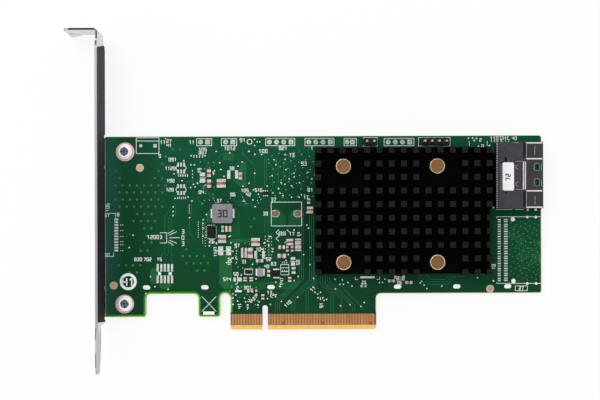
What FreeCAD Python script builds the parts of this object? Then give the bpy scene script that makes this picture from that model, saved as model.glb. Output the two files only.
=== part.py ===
import FreeCAD, Part
import math
import os
from FreeCAD import Vector

# A PCI Express x8 host bus adapter: a green storage card with a pin-fin heat sink, one
# internal cable port at its far end and a full-height bracket screwed to its near end.
#
# The card lies flat with its components up. While it is built, X runs along the card from
# its bracket end, Y runs up from the tips of the edge contacts, and Z is the height above
# the component face. At the end everything moves so that the origin is the middle of the
# whole part's footprint, at the level that it rests on.

# Circuit board
BOARD_LENGTH = 155.65
BOARD_TOP = 68.90
BOARD_THICK = 1.57
BOARD_LOWER_EDGE = 12.75
FOOT_EDGE = 4.6
FOOT_BLOCK_END = 14.66
FOOT_LEG_WIDTH = 7.76
KEYING_SLOT_WIDTH = 3.65
CORNER_ROUND = 0.9
INSIDE_ROUND = 1.6
KEYING_SLOT_TOP = 12.95
BREAK_SLOT_ALONG = (0.0951, 0.2287, 0.3803, 0.6707, 0.8063, 0.9232)
BREAK_SLOT_LEVEL = 15.1
BREAK_SLOT_LENGTH = 2.7
BREAK_SLOT_WIDTH = 1.55
BREAK_SLOT_CUT = 0.5

# Edge connector: eleven contacts, the key, then thirty-eight more
EDGE_START = 44.75
CONTACTS_BEFORE_KEY = 11
CONTACTS_AFTER_KEY = 38
CONTACT_PITCH = 1.0
CONTACT_WIDTH = 0.7
CONTACT_THICK = 0.05
CONTACT_TOP = 5.6
FIRST_CONTACT_MARGIN = 0.85
LAST_CONTACT_MARGIN = 1.1
KEY_WIDTH = 1.9
KEY_TO_CONTACT = 1.5
KEY_TOP = 8.7
BEVEL_RISE = 1.6
BEVEL_DEPTH = 0.5
SHORTER_FRONT_CONTACTS = (17, 31, 48)
SHORTER_BACK_CONTACTS = (1,)
SHORTER_BY = 1.1

# Bracket, a folded steel sheet
SHEET = 0.86
BRACKET_HEIGHT = 120.02
BRACKET_DEPTH = 18.42
BRACKET_TOP = 106.10
BRACKET_FAR = -2.90
BRACKET_GAP = 0.30
BODY_BOTTOM = 2.4
BODY_TOP = 101.7
SHOULDER = 99.7
BODY_ROUND = 1.5
NECK_FAR = -0.2
NECK_NEAR = 13.9
NECK_SLOPE = 2.3
TAB_REACH = 12.2
TAB_BEND = 0.85
TAB_ROUND = 1.2
FINGER_WIDTH = 3.85
FINGER_LANCE = 4.0
FINGER_HINGE = 0.65
FINGER_ANGLE = 12.0
TONGUE_FAR = 7.0
TONGUE_TAPER = -3.8
TONGUE_TIP = 4.8
TONGUE_ROUND = 1.9
EAR_WIDTH = 10.0
EAR_LENGTH = 12.4
EAR_RELIEF = 1.0
EAR_ROUND = 2.0

# Bracket screws
SCREW_X = 7.25
SCREW_LOWER = 9.5
SCREW_TO_TOP = 5.3
SCREW_RADIUS = 1.45
SCREW_HEAD_RADIUS = 2.7
SCREW_HEAD_HEIGHT = 2.1
SCREW_HEAD_EDGE = 0.9
SCREW_CROWN_RADIUS = 1.9
SCREW_END = -2.8
SCREW_CLEARANCE = 0.2
THREAD_CLEARANCE = 0.05
CROSS_SPAN = 3.0
CROSS_BLADE = 0.62
CROSS_DEPTH = 1.3

# Shield film on the inner face of the bracket
FILM_THICK = 0.2
FILM_MARGIN = 0.3
FILM_SLANT = 1.5
FILM_ROUND = 1.8

# Controller and what lies between it and the heat sink
PACKAGE_TO_PIN = 1.35
PACKAGE_THICK = 1.0
LID_STEP = 2.0
LID_THICK = 1.0
PAD_STEP = 0.5
PAD_THICK = 0.3

# Heat sink, which fills the board between the small parts and the port
SINK_LEFT = 75.0
SINK_BOTTOM = 20.1
SINK_TO_PORT = 2.9
SINK_TO_TOP = 4.3
SINK_BASE = 2.6
FIN_TOP = 13.0
FIN_SIDE = 2.05
FIN_COLUMNS = 15
FIN_ROWS = 10
CLEARED_COLUMNS = ((1, 2, 3), (9, 10, 11))
CLEARED_ROWS = ((0, 1), (7, 8))
PEDESTAL_STEP = 1.0
PEDESTAL_DROP = 0.8

# Push pins that hold the heat sink down, placed by their share of its length and width
PUSH_PIN_ALONG = (0.161, 0.696)
PUSH_PIN_ACROSS = (0.0944, 0.8517)
PUSH_HEAD_RADIUS = 2.65
PUSH_HEAD_THICK = 1.1
PUSH_HEAD_TOP = 8.4
PUSH_STEM_RADIUS = 1.2
PUSH_HOLE_CLEARANCE = 0.3
PUSH_BARB_RADIUS = 1.95
PUSH_END = -2.8
SPRING_WIRE = 0.42
SPRING_RADIUS = 1.95
SPRING_TURNS = 1.5
SPRING_STEPS = 9

# Cable port: a moulded housing behind a formed steel mouth
PORT_TO_EDGE = 0.35
PORT_TO_TOP = 2.4
PORT_BLOCK = 9.95
PORT_HOOD = 5.95
PORT_WIDTH = 23.5
PORT_HEIGHT = 6.0
PORT_STEEL = 0.3
PORT_BAR_LENGTH = 2.8
PORT_BAR_THICK = 1.1
PORT_BAR_LEVEL = 2.3
PORT_BAR_MARGIN = 1.6
PORT_BAY_WIDTH = 10.4
PORT_BAY_DEPTH = 4.2
PORT_BAY_DROP = 0.5
PORT_WINDOW_LENGTH = 1.8
PORT_WINDOW_WIDTH = 2.4
PORT_WINDOW_SPREAD = 5.6
PORT_WINDOW_FROM_END = 1.5
PORT_SEAM = 0.35
PORT_SEAM_DEPTH = 0.12
PORT_SEAM_SPREAD = 11.4
PORT_LEG_LENGTH = 1.2
PORT_LEG_REACH = 0.9
TAIL_PITCH = 0.6
TAIL_ROW_MARGIN = 1.3
TAIL_WIDTH = 0.26
TAIL_THICK = 0.2
TAIL_RISE = 5.0
TAIL_REACH = 0.5
LABEL_SETBACK = 3.6
LABEL_DROP = 0.5
LABEL_LENGTH = 4.0
LABEL_HEIGHT = 9.9
LABEL_CUT = 0.4
LABEL_THICK = 0.1

# Pin headers along the top edge, placed by their share of the heat sink's length
HEADER_PITCH = 2.54
HEADER_TO_TOP = 2.0
HEADER_DEPTH = 2.5
HEADER_BASE = 2.5
HEADER_CHAMFER = 0.35
HEADER_PIN_SIDE = 0.64
HEADER_PIN_TOP = 7.6
HEADER_PIN_END = -2.8
HEADER_TWO_ALONG = 0.3187
HEADER_FOUR_ALONG = 0.691

# Inductors: centre, length, width, height and width of the terminals
POWER_COIL = (42.06, 41.47, 7.2, 6.8, 3.0, 3.2)
SMALL_COIL = (55.4, 20.5, 2.0, 2.9, 1.6, 2.4)
COIL_CUT = 0.5
COIL_FOOT_REACH = 0.6
COIL_FOOT_HEIGHT = 1.2
COIL_FOOT_THICK = 0.2

# Small integrated circuits and a diode: centre, length, width, height, lead width and pitch
REGULATOR = (38.1, 34.95, 2.8, 3.9, 0.9)
LEADED_CHIPS = (
    (57.4, 48.6, 1.9, 1.2, 0.9, 0.3, 0.65),
    (51.5, 20.6, 2.1, 1.3, 0.9, 0.3, 0.7),
    (61.1, 20.0, 2.9, 2.4, 1.2, 2.2, 2.9),
)
LEAD_REACH = 0.5
LEAD_THICK = 0.2

# Chip parts: centre, extent along the card, extent across it, height, and whether the
# tinned ends face the card's long edges
END_SHARE = 0.34
END_WRAP = 0.04
CAPACITORS = (
    (44.1, 36.0, 2.1, 2.0, 1.2, False),
    (42.1, 36.0, 0.9, 2.2, 0.8, True),
    (41.9, 32.4, 2.8, 2.8, 1.4, True),
    (53.8, 31.3, 3.0, 2.8, 1.4, True),
    (66.0, 31.2, 2.3, 2.25, 1.3, True),
    (68.9, 31.7, 2.1, 1.4, 1.0, True),
    (68.9, 30.2, 2.1, 1.4, 1.0, True),
    (68.9, 28.7, 2.1, 1.4, 1.0, True),
    (51.9, 27.4, 1.7, 3.6, 1.2, True),
    (49.7, 27.4, 2.1, 3.4, 1.2, False),
    (63.1, 26.3, 3.0, 1.4, 1.0, False),
    (55.2, 24.6, 2.6, 1.1, 0.9, False),
    (73.2, 42.6, 2.1, 2.4, 1.3, True),
    (37.3, 55.8, 1.3, 2.7, 1.0, True),
    (37.3, 52.1, 1.35, 2.9, 1.0, True),
    (41.7, 52.2, 3.1, 3.1, 1.4, True),
    (48.5, 54.8, 1.1, 2.5, 0.9, True),
    (51.8, 14.0, 2.1, 1.2, 0.9, False),
    (102.1, 17.3, 2.4, 0.95, 0.8, False),
    (105.3, 18.2, 2.8, 1.5, 1.0, False),
    (108.3, 16.7, 2.5, 0.95, 0.8, False),
)
RESISTORS = (
    (65.1, 28.8, 0.8, 2.0, 0.5, True),
    (66.8, 28.8, 0.8, 2.0, 0.5, True),
    (69.1, 34.0, 0.9, 1.4, 0.5, True),
    (63.1, 29.4, 2.3, 1.2, 0.5, False),
    (58.4, 20.1, 1.0, 2.4, 0.5, True),
    (67.3, 21.1, 1.3, 2.4, 0.5, True),
    (65.9, 17.9, 1.1, 1.7, 0.5, True),
    (50.0, 18.0, 1.2, 1.4, 0.5, True),
    (52.2, 18.0, 1.2, 1.4, 0.5, True),
    (54.0, 13.2, 0.7, 2.3, 0.5, True),
    (56.3, 11.7, 1.0, 1.8, 0.5, True),
    (49.7, 24.3, 1.2, 1.3, 0.5, False),
    (72.7, 45.8, 1.0, 1.9, 0.5, True),
)

# Places that follow from the sizes above
BRACKET_OUTER = -BRACKET_GAP - SHEET
EAR_BEND = BRACKET_GAP
BRACKET_NEAR = BRACKET_FAR + BRACKET_DEPTH
BRACKET_BOTTOM = BRACKET_TOP - BRACKET_HEIGHT
KEY_MIDDLE = (
    EDGE_START + FIRST_CONTACT_MARGIN + (CONTACTS_BEFORE_KEY - 1) * CONTACT_PITCH + KEY_TO_CONTACT)
KEY_START = KEY_MIDDLE - KEY_WIDTH / 2
EDGE_END = (
    KEY_MIDDLE + KEY_TO_CONTACT + (CONTACTS_AFTER_KEY - 1) * CONTACT_PITCH + LAST_CONTACT_MARGIN)
FOOT_LEG_END = EDGE_START - KEYING_SLOT_WIDTH
SCREW_LEVELS = (SCREW_LOWER, BOARD_TOP - SCREW_TO_TOP)
PORT_END = BOARD_LENGTH - PORT_TO_EDGE
PORT_MOUTH = PORT_END - PORT_HOOD
PORT_START = PORT_MOUTH - PORT_BLOCK
PORT_TOP = BOARD_TOP - PORT_TO_TOP
PORT_BOTTOM = PORT_TOP - PORT_WIDTH
SINK_LENGTH = PORT_START - SINK_TO_PORT - SINK_LEFT
SINK_WIDTH = BOARD_TOP - SINK_TO_TOP - SINK_BOTTOM
HEADER_LEVEL = BOARD_TOP - HEADER_TO_TOP
HEADER_TWO_X = SINK_LEFT + HEADER_TWO_ALONG * SINK_LENGTH
HEADER_FOUR_X = SINK_LEFT + HEADER_FOUR_ALONG * SINK_LENGTH
PUSH_PIN_X = [SINK_LEFT + share * SINK_LENGTH for share in PUSH_PIN_ALONG]
PUSH_PIN_Y = [SINK_BOTTOM + share * SINK_WIDTH for share in PUSH_PIN_ACROSS]
CONTROLLER_X = sum(PUSH_PIN_X) / len(PUSH_PIN_X)
CONTROLLER_Y = sum(PUSH_PIN_Y) / len(PUSH_PIN_Y)
PACKAGE_SIDE = PUSH_PIN_Y[1] - PUSH_PIN_Y[0] - 2 * PACKAGE_TO_PIN
LID_SIDE = PACKAGE_SIDE - 2 * LID_STEP
PAD_SIDE = LID_SIDE - 2 * PAD_STEP
PEDESTAL_SIDE = LID_SIDE + 2 * PEDESTAL_STEP
LID_TOP = PACKAGE_THICK + LID_THICK
SINK_FLOOR = LID_TOP + PAD_THICK
SINK_BASE_FLOOR = SINK_FLOOR + PEDESTAL_DROP
SINK_BASE_TOP = SINK_BASE_FLOOR + SINK_BASE
FIN_COLUMN_PITCH = (SINK_LENGTH - FIN_SIDE) / (FIN_COLUMNS - 1)
FIN_ROW_PITCH = (SINK_WIDTH - FIN_SIDE) / (FIN_ROWS - 1)
PUSH_HOLE_RADIUS = PUSH_STEM_RADIUS + PUSH_HOLE_CLEARANCE
PUSH_PLACES = [(x, y) for x in PUSH_PIN_X for y in PUSH_PIN_Y]
PORT_MIDDLE = (PORT_BOTTOM + PORT_TOP) / 2
TO_ORIGIN = Vector(
    (TAB_REACH - BOARD_LENGTH) / 2,
    BRACKET_HEIGHT / 2 - BRACKET_TOP,
    -BRACKET_FAR,
)


def box(x0, x1, y0, y1, z0, z1):
    """A block between two corners."""
    return Part.makeBox(x1 - x0, y1 - y0, z1 - z0, Vector(x0, y0, z0))


def cylinder(x, y, z0, z1, radius):
    """An upright cylinder."""
    return Part.makeCylinder(radius, z1 - z0, Vector(x, y, z0))


def flat_at(z):
    """Draw in a horizontal plane."""
    return lambda a, b: Vector(a, b, z)


def side_at(x):
    """Draw in a plane across the card, with Y to the right and Z up."""
    return lambda a, b: Vector(x, a, b)


def rounded_wire(corners, lift):
    """A closed wire through corners (a, b, radius), each rounded by an arc of its radius."""
    edges = []
    stretches = []
    for index, (a, b, radius) in enumerate(corners):
        here = Vector(a, b, 0)
        before = Vector(corners[index - 1][0], corners[index - 1][1], 0)
        following = corners[(index + 1) % len(corners)]
        after = Vector(following[0], following[1], 0)
        back = (before - here).normalize()
        ahead = (after - here).normalize()
        half = back.getAngle(ahead) / 2
        start = here + back * (radius / math.tan(half))
        end = here + ahead * (radius / math.tan(half))
        stretches.append((start, end))
        if radius:
            inward = (back + ahead).normalize()
            crown = here + inward * (radius / math.sin(half) - radius)
            arc = Part.Arc(lift(start.x, start.y), lift(crown.x, crown.y), lift(end.x, end.y))
            edges.append(arc.toShape())
    for index, (start, end) in enumerate(stretches):
        leaving = stretches[index - 1][1]
        if leaving.distanceToPoint(start) > 1e-6:
            edges.append(Part.makeLine(lift(leaving.x, leaving.y), lift(start.x, start.y)))
    return Part.Wire(Part.__sortEdges__(edges))


def rounded_slab(corners, z0, z1):
    """A flat plate with the given rounded outline."""
    return Part.Face(rounded_wire(corners, flat_at(z0))).extrude(Vector(0, 0, z1 - z0))


def chamfered_block(x, y, length, width, z0, z1, cut):
    """A block given by its middle, with its four upright edges cut off at 45 degrees."""
    deep = width / 2
    half = length / 2
    return rounded_slab([
        (x - half, y - deep + cut, 0), (x - half + cut, y - deep, 0),
        (x + half - cut, y - deep, 0), (x + half, y - deep + cut, 0),
        (x + half, y + deep - cut, 0), (x + half - cut, y + deep, 0),
        (x - half + cut, y + deep, 0), (x - half, y + deep - cut, 0)], z0, z1)


def centred_block(x, y, length, width, z0, z1):
    """A block given by its middle."""
    return box(x - length / 2, x + length / 2, y - width / 2, y + width / 2, z0, z1)


def row(middle, count, pitch):
    """Evenly spaced places about a middle."""
    return [middle + (index - (count - 1) / 2) * pitch for index in range(count)]


def header_pin_places():
    """Every pin of the two fitted headers."""
    pairs = [(x, HEADER_LEVEL) for x in row(HEADER_TWO_X, 2, HEADER_PITCH)]
    fours = [(x, HEADER_LEVEL) for x in row(HEADER_FOUR_X, 4, HEADER_PITCH)]
    return pairs + fours


def board_outline():
    """The card's outline, anticlockwise from its lower near corner."""
    slot = KEYING_SLOT_WIDTH / 2
    key = KEY_WIDTH / 2
    return [
        (0, FOOT_EDGE, CORNER_ROUND),
        (FOOT_BLOCK_END, FOOT_EDGE, CORNER_ROUND),
        (FOOT_BLOCK_END, BOARD_LOWER_EDGE, INSIDE_ROUND),
        (FOOT_LEG_END - FOOT_LEG_WIDTH, BOARD_LOWER_EDGE, INSIDE_ROUND),
        (FOOT_LEG_END - FOOT_LEG_WIDTH, FOOT_EDGE, CORNER_ROUND),
        (FOOT_LEG_END, FOOT_EDGE, CORNER_ROUND),
        (FOOT_LEG_END, KEYING_SLOT_TOP, slot),
        (EDGE_START, KEYING_SLOT_TOP, slot),
        (EDGE_START, 0, CORNER_ROUND),
        (KEY_START, 0, 0),
        (KEY_START, KEY_TOP, key),
        (KEY_START + KEY_WIDTH, KEY_TOP, key),
        (KEY_START + KEY_WIDTH, 0, 0),
        (EDGE_END, 0, CORNER_ROUND),
        (EDGE_END, BOARD_LOWER_EDGE, INSIDE_ROUND),
        (BOARD_LENGTH, BOARD_LOWER_EDGE, CORNER_ROUND),
        (BOARD_LENGTH, BOARD_TOP, CORNER_ROUND),
        (0, BOARD_TOP, CORNER_ROUND),
    ]


def bevel_wedge(face_z, inward):
    """The wedge ground off one face along the contact edge."""
    corners = [
        Vector(EDGE_START, 0, face_z),
        Vector(EDGE_START, BEVEL_RISE, face_z),
        Vector(EDGE_START, 0, face_z + inward * BEVEL_DEPTH),
        Vector(EDGE_START, 0, face_z),
    ]
    return Part.Face(Part.makePolygon(corners)).extrude(Vector(EDGE_END - EDGE_START, 0, 0))


def circuit_board():
    """The bare board with its bevelled contact edge and its drilled and routed holes."""
    board = rounded_slab(board_outline(), -BOARD_THICK, 0)
    cuts = [bevel_wedge(0, -1), bevel_wedge(-BOARD_THICK, 1)]
    for y in SCREW_LEVELS:
        cuts.append(cylinder(SCREW_X, y, -BOARD_THICK, 0, SCREW_RADIUS + SCREW_CLEARANCE))
    for x, y in PUSH_PLACES:
        cuts.append(cylinder(x, y, -BOARD_THICK, 0, PUSH_HOLE_RADIUS))
    for x, y in header_pin_places():
        cuts.append(centred_block(x, y, HEADER_PIN_SIDE, HEADER_PIN_SIDE, -BOARD_THICK, 0))
    for share in BREAK_SLOT_ALONG:
        cuts.append(chamfered_block(
            share * BOARD_LENGTH, BREAK_SLOT_LEVEL, BREAK_SLOT_LENGTH, BREAK_SLOT_WIDTH,
            -BOARD_THICK, 0, BREAK_SLOT_CUT))
    return board.cut(cuts)


def contact_place(position):
    """Middle of the contact with this number, counted from the bracket end."""
    if position <= CONTACTS_BEFORE_KEY:
        return KEY_MIDDLE - KEY_TO_CONTACT - (CONTACTS_BEFORE_KEY - position) * CONTACT_PITCH
    return KEY_MIDDLE + KEY_TO_CONTACT + (position - CONTACTS_BEFORE_KEY - 1) * CONTACT_PITCH


def edge_contacts():
    """Gold contacts on both faces, with the presence contacts set back from the edge."""
    contacts = []
    faces = (
        (0, CONTACT_THICK, SHORTER_FRONT_CONTACTS),
        (-BOARD_THICK - CONTACT_THICK, -BOARD_THICK, SHORTER_BACK_CONTACTS),
    )
    for z0, z1, shorter in faces:
        for position in range(1, CONTACTS_BEFORE_KEY + CONTACTS_AFTER_KEY + 1):
            x = contact_place(position)
            start = BEVEL_RISE + (SHORTER_BY if position in shorter else 0)
            contacts.append(box(x - CONTACT_WIDTH / 2, x + CONTACT_WIDTH / 2, start, CONTACT_TOP, z0, z1))
    return Part.makeCompound(contacts)


def bracket_body_outline():
    """The bracket's flat outline up to the tab's bend, with Y to the right and Z up."""
    bend_level = BRACKET_TOP - SHEET - TAB_BEND
    return [
        (BRACKET_BOTTOM, BRACKET_NEAR - TONGUE_TIP, TONGUE_ROUND),
        (TONGUE_TAPER, TONGUE_FAR, TONGUE_ROUND),
        (BODY_BOTTOM, TONGUE_FAR, TONGUE_ROUND / 2),
        (BODY_BOTTOM, BRACKET_FAR, BODY_ROUND),
        (BODY_TOP, BRACKET_FAR, BODY_ROUND),
        (BODY_TOP, NECK_FAR, TONGUE_ROUND / 2),
        (bend_level, NECK_FAR, 0),
        (bend_level, NECK_NEAR, 0),
        (SHOULDER + NECK_SLOPE, NECK_NEAR, BODY_ROUND),
        (SHOULDER, BRACKET_NEAR, BODY_ROUND),
        (BRACKET_BOTTOM, BRACKET_NEAR, TONGUE_ROUND),
    ]


def bend_ring(x, y, inner, z0, z1):
    """A quarter of a tube for a sheet bent about an upright line, below right of the line."""
    ring = Part.makeCylinder(inner + SHEET, z1 - z0, Vector(x, y, z0), Vector(0, 0, 1), 90)
    return ring.cut(cylinder(x, y, z0, z1, inner))


def tab_plate():
    """The screw tab: a bend over the neck, a flat strip and a finger lanced slightly down."""
    end = -TAB_REACH
    bend_x = BRACKET_OUTER - TAB_BEND
    under = BRACKET_TOP - SHEET
    bend = bend_ring(bend_x, under - TAB_BEND, TAB_BEND, NECK_FAR, NECK_NEAR)
    finger_side = end + FINGER_WIDTH
    hinge = finger_side - FINGER_HINGE
    corners = [
        (end, FINGER_LANCE, 0),
        (hinge, FINGER_LANCE, 0),
        (hinge, BRACKET_FAR, 0),
        (finger_side, BRACKET_FAR, 0),
        (finger_side, NECK_FAR, 0),
        (bend_x, NECK_FAR, 0),
        (bend_x, NECK_NEAR, 0),
        (end, NECK_NEAR, TAB_ROUND),
    ]
    strip = Part.Face(rounded_wire(corners, lambda a, b: Vector(a, under, b)))
    strip = strip.extrude(Vector(0, SHEET, 0))
    finger_corners = [
        (end, BRACKET_FAR, TAB_ROUND),
        (hinge, BRACKET_FAR, 0),
        (hinge, FINGER_LANCE, 0),
        (end, FINGER_LANCE, 0),
    ]
    finger = Part.Face(rounded_wire(finger_corners, lambda a, b: Vector(a, under, b)))
    finger = finger.extrude(Vector(0, SHEET, 0))
    finger.rotate(Vector(hinge, under + SHEET, 0), Vector(0, 0, 1), FINGER_ANGLE)
    return strip.fuse([bend, finger])


def bracket_ear(level):
    """One ear folded in behind the board, with its tapped hole."""
    outer = EAR_BEND + SHEET
    top = -BOARD_THICK
    centre_z = top + EAR_BEND
    centre_x = EAR_BEND - BRACKET_GAP
    low = level - EAR_WIDTH / 2
    high = level + EAR_WIDTH / 2
    fold_line = Vector(centre_x, low, centre_z)
    quarter = Part.makeCylinder(outer, EAR_WIDTH, fold_line, Vector(0, 1, 0))
    quarter = quarter.cut(Part.makeCylinder(EAR_BEND, EAR_WIDTH, fold_line, Vector(0, 1, 0)))
    quarter = quarter.common(box(BRACKET_OUTER, centre_x, low, high, top - SHEET, centre_z))
    flat = rounded_slab([
        (centre_x, low, 0), (EAR_LENGTH, low, EAR_ROUND),
        (EAR_LENGTH, high, EAR_ROUND), (centre_x, high, 0)], top - SHEET, top)
    riser = box(BRACKET_OUTER, -BRACKET_GAP, low, high, centre_z, centre_z + EAR_RELIEF)
    ear = flat.fuse([quarter, riser])
    return ear.cut(cylinder(SCREW_X, level, top - SHEET, top, SCREW_RADIUS + THREAD_CLEARANCE))


def io_bracket():
    """The folded bracket: body, tongue, screw tab and the two ears."""
    face = Part.Face(rounded_wire(bracket_body_outline(), side_at(BRACKET_OUTER)))
    sheet = face.extrude(Vector(SHEET, 0, 0))
    half = EAR_WIDTH / 2 + EAR_RELIEF
    relief_top = -BOARD_THICK + EAR_BEND + EAR_RELIEF
    for level in SCREW_LEVELS:
        sheet = sheet.cut(box(
            BRACKET_OUTER, -BRACKET_GAP, level - half, level + half, BRACKET_FAR, relief_top))
    parts = [bracket_ear(level) for level in SCREW_LEVELS] + [tab_plate()]
    return sheet.fuse(parts).removeSplitter()


def shield_film():
    """The black film on the bracket's inner face, slanted at both ends and cut away at the ears."""
    y0 = BODY_BOTTOM + FILM_MARGIN
    y1 = BODY_TOP - FILM_MARGIN
    z0 = BRACKET_FAR + FILM_MARGIN
    z1 = BRACKET_NEAR - FILM_MARGIN
    corners = [
        (y0, z0, FILM_ROUND),
        (y1, z0, FILM_ROUND),
        (y1, NECK_FAR, 0),
        (SHOULDER - FILM_MARGIN, z1, FILM_MARGIN),
        (y0 + FILM_SLANT, z1, FILM_MARGIN),
    ]
    film = Part.Face(rounded_wire(corners, side_at(-BRACKET_GAP))).extrude(Vector(FILM_THICK, 0, 0))
    half = EAR_WIDTH / 2 + EAR_RELIEF
    ear_top = -BOARD_THICK + EAR_BEND + EAR_RELIEF
    for level in SCREW_LEVELS:
        film = film.cut(box(-BRACKET_GAP, 0, level - half, level + half, BRACKET_FAR, ear_top))
    return film


def bracket_screw(level):
    """A pan-head screw through the board into the ear."""
    outline = [
        Vector(0, 0, SCREW_HEAD_HEIGHT),
        Vector(0, 0, SCREW_END),
        Vector(SCREW_RADIUS, 0, SCREW_END),
        Vector(SCREW_RADIUS, 0, 0),
        Vector(SCREW_HEAD_RADIUS, 0, 0),
        Vector(SCREW_HEAD_RADIUS, 0, SCREW_HEAD_EDGE),
        Vector(SCREW_CROWN_RADIUS, 0, SCREW_HEAD_HEIGHT),
        Vector(0, 0, SCREW_HEAD_HEIGHT),
    ]
    screw = Part.Face(Part.makePolygon(outline)).revolve(Vector(0, 0, 0), Vector(0, 0, 1), 360)
    floor = SCREW_HEAD_HEIGHT - CROSS_DEPTH
    blades = [
        centred_block(0, 0, CROSS_SPAN, CROSS_BLADE, floor, SCREW_HEAD_HEIGHT),
        centred_block(0, 0, CROSS_BLADE, CROSS_SPAN, floor, SCREW_HEAD_HEIGHT),
    ]
    screw = screw.cut(blades)
    screw.translate(Vector(SCREW_X, level, 0))
    return screw


def bracket_screws():
    """Both bracket screws."""
    return Part.makeCompound([bracket_screw(level) for level in SCREW_LEVELS])


def controller_package():
    """The controller's laminate."""
    return centred_block(CONTROLLER_X, CONTROLLER_Y, PACKAGE_SIDE, PACKAGE_SIDE, 0, PACKAGE_THICK)


def controller_lid():
    """The metal lid over the controller's die."""
    return centred_block(CONTROLLER_X, CONTROLLER_Y, LID_SIDE, LID_SIDE, PACKAGE_THICK, LID_TOP)


def thermal_pad():
    """The soft pad between the lid and the heat sink."""
    return centred_block(CONTROLLER_X, CONTROLLER_Y, PAD_SIDE, PAD_SIDE, LID_TOP, SINK_FLOOR)


def fin_is_cleared(column, line):
    """True where a fin gives way to a push pin."""
    columns = any(column in group for group in CLEARED_COLUMNS)
    rows = any(line in group for group in CLEARED_ROWS)
    return columns and rows


def heat_sink():
    """The finned block: base plate, contact pedestal and the field of square fins."""
    base = box(
        SINK_LEFT, SINK_LEFT + SINK_LENGTH, SINK_BOTTOM, SINK_BOTTOM + SINK_WIDTH,
        SINK_BASE_FLOOR, SINK_BASE_TOP)
    pedestal = centred_block(
        CONTROLLER_X, CONTROLLER_Y, PEDESTAL_SIDE, PEDESTAL_SIDE, SINK_FLOOR, SINK_BASE_FLOOR)
    fins = []
    for column in range(FIN_COLUMNS):
        for line in range(FIN_ROWS):
            if fin_is_cleared(column, line):
                continue
            x = SINK_LEFT + column * FIN_COLUMN_PITCH
            y = SINK_BOTTOM + line * FIN_ROW_PITCH
            fins.append(box(x, x + FIN_SIDE, y, y + FIN_SIDE, SINK_BASE_TOP, FIN_TOP))
    holes = [cylinder(x, y, SINK_BASE_FLOOR, SINK_BASE_TOP, PUSH_HOLE_RADIUS) for x, y in PUSH_PLACES]
    return base.fuse([pedestal] + fins).cut(holes).removeSplitter()


def push_pin(x, y):
    """One brass push pin: flat head, stem and a pointed barb behind the board."""
    under_head = PUSH_HEAD_TOP - PUSH_HEAD_THICK
    barb = -BOARD_THICK
    outline = [
        Vector(0, 0, PUSH_END),
        Vector(PUSH_BARB_RADIUS, 0, barb),
        Vector(PUSH_STEM_RADIUS, 0, barb),
        Vector(PUSH_STEM_RADIUS, 0, under_head),
        Vector(PUSH_HEAD_RADIUS, 0, under_head),
        Vector(PUSH_HEAD_RADIUS, 0, PUSH_HEAD_TOP),
        Vector(0, 0, PUSH_HEAD_TOP),
        Vector(0, 0, PUSH_END),
    ]
    pin = Part.Face(Part.makePolygon(outline)).revolve(Vector(0, 0, 0), Vector(0, 0, 1), 360)
    pin.translate(Vector(x, y, 0))
    return pin


def push_pins():
    """All four push pins."""
    return Part.makeCompound([push_pin(x, y) for x, y in PUSH_PLACES])


def push_spring(x, y):
    """The compressed spring between the base plate and a push pin's head, of square wire."""
    length = PUSH_HEAD_TOP - PUSH_HEAD_THICK - SINK_BASE_TOP - SPRING_WIRE
    steps = round(SPRING_TURNS * SPRING_STEPS)
    sections = []
    for step in range(steps + 1):
        angle = 2 * math.pi * step / SPRING_STEPS
        low = SINK_BASE_TOP + length * step / steps
        corners = []
        for radius, z in ((0, 0), (1, 0), (1, 1), (0, 1), (0, 0)):
            reach = SPRING_RADIUS + (radius - 0.5) * SPRING_WIRE
            corners.append(Vector(
                x + reach * math.cos(angle), y + reach * math.sin(angle), low + z * SPRING_WIRE))
        sections.append(Part.makePolygon(corners))
    return Part.makeLoft(sections, True, True)


def push_pin_springs():
    """All four springs."""
    return Part.makeCompound([push_spring(x, y) for x, y in PUSH_PLACES])


def port_housing():
    """The moulded housing: a block with a shallow bay and the contact bar in the mouth."""
    block = box(PORT_START, PORT_MOUTH, PORT_BOTTOM, PORT_TOP, 0, PORT_HEIGHT)
    bay = box(
        PORT_MOUTH - PORT_BAY_DEPTH, PORT_MOUTH, PORT_MIDDLE - PORT_BAY_WIDTH / 2,
        PORT_MIDDLE + PORT_BAY_WIDTH / 2, PORT_HEIGHT - PORT_BAY_DROP, PORT_HEIGHT)
    bar = box(
        PORT_MOUTH, PORT_MOUTH + PORT_BAR_LENGTH, PORT_BOTTOM + PORT_BAR_MARGIN,
        PORT_TOP - PORT_BAR_MARGIN, PORT_BAR_LEVEL, PORT_BAR_LEVEL + PORT_BAR_THICK)
    return block.cut(bay).fuse(bar).removeSplitter()


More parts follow.
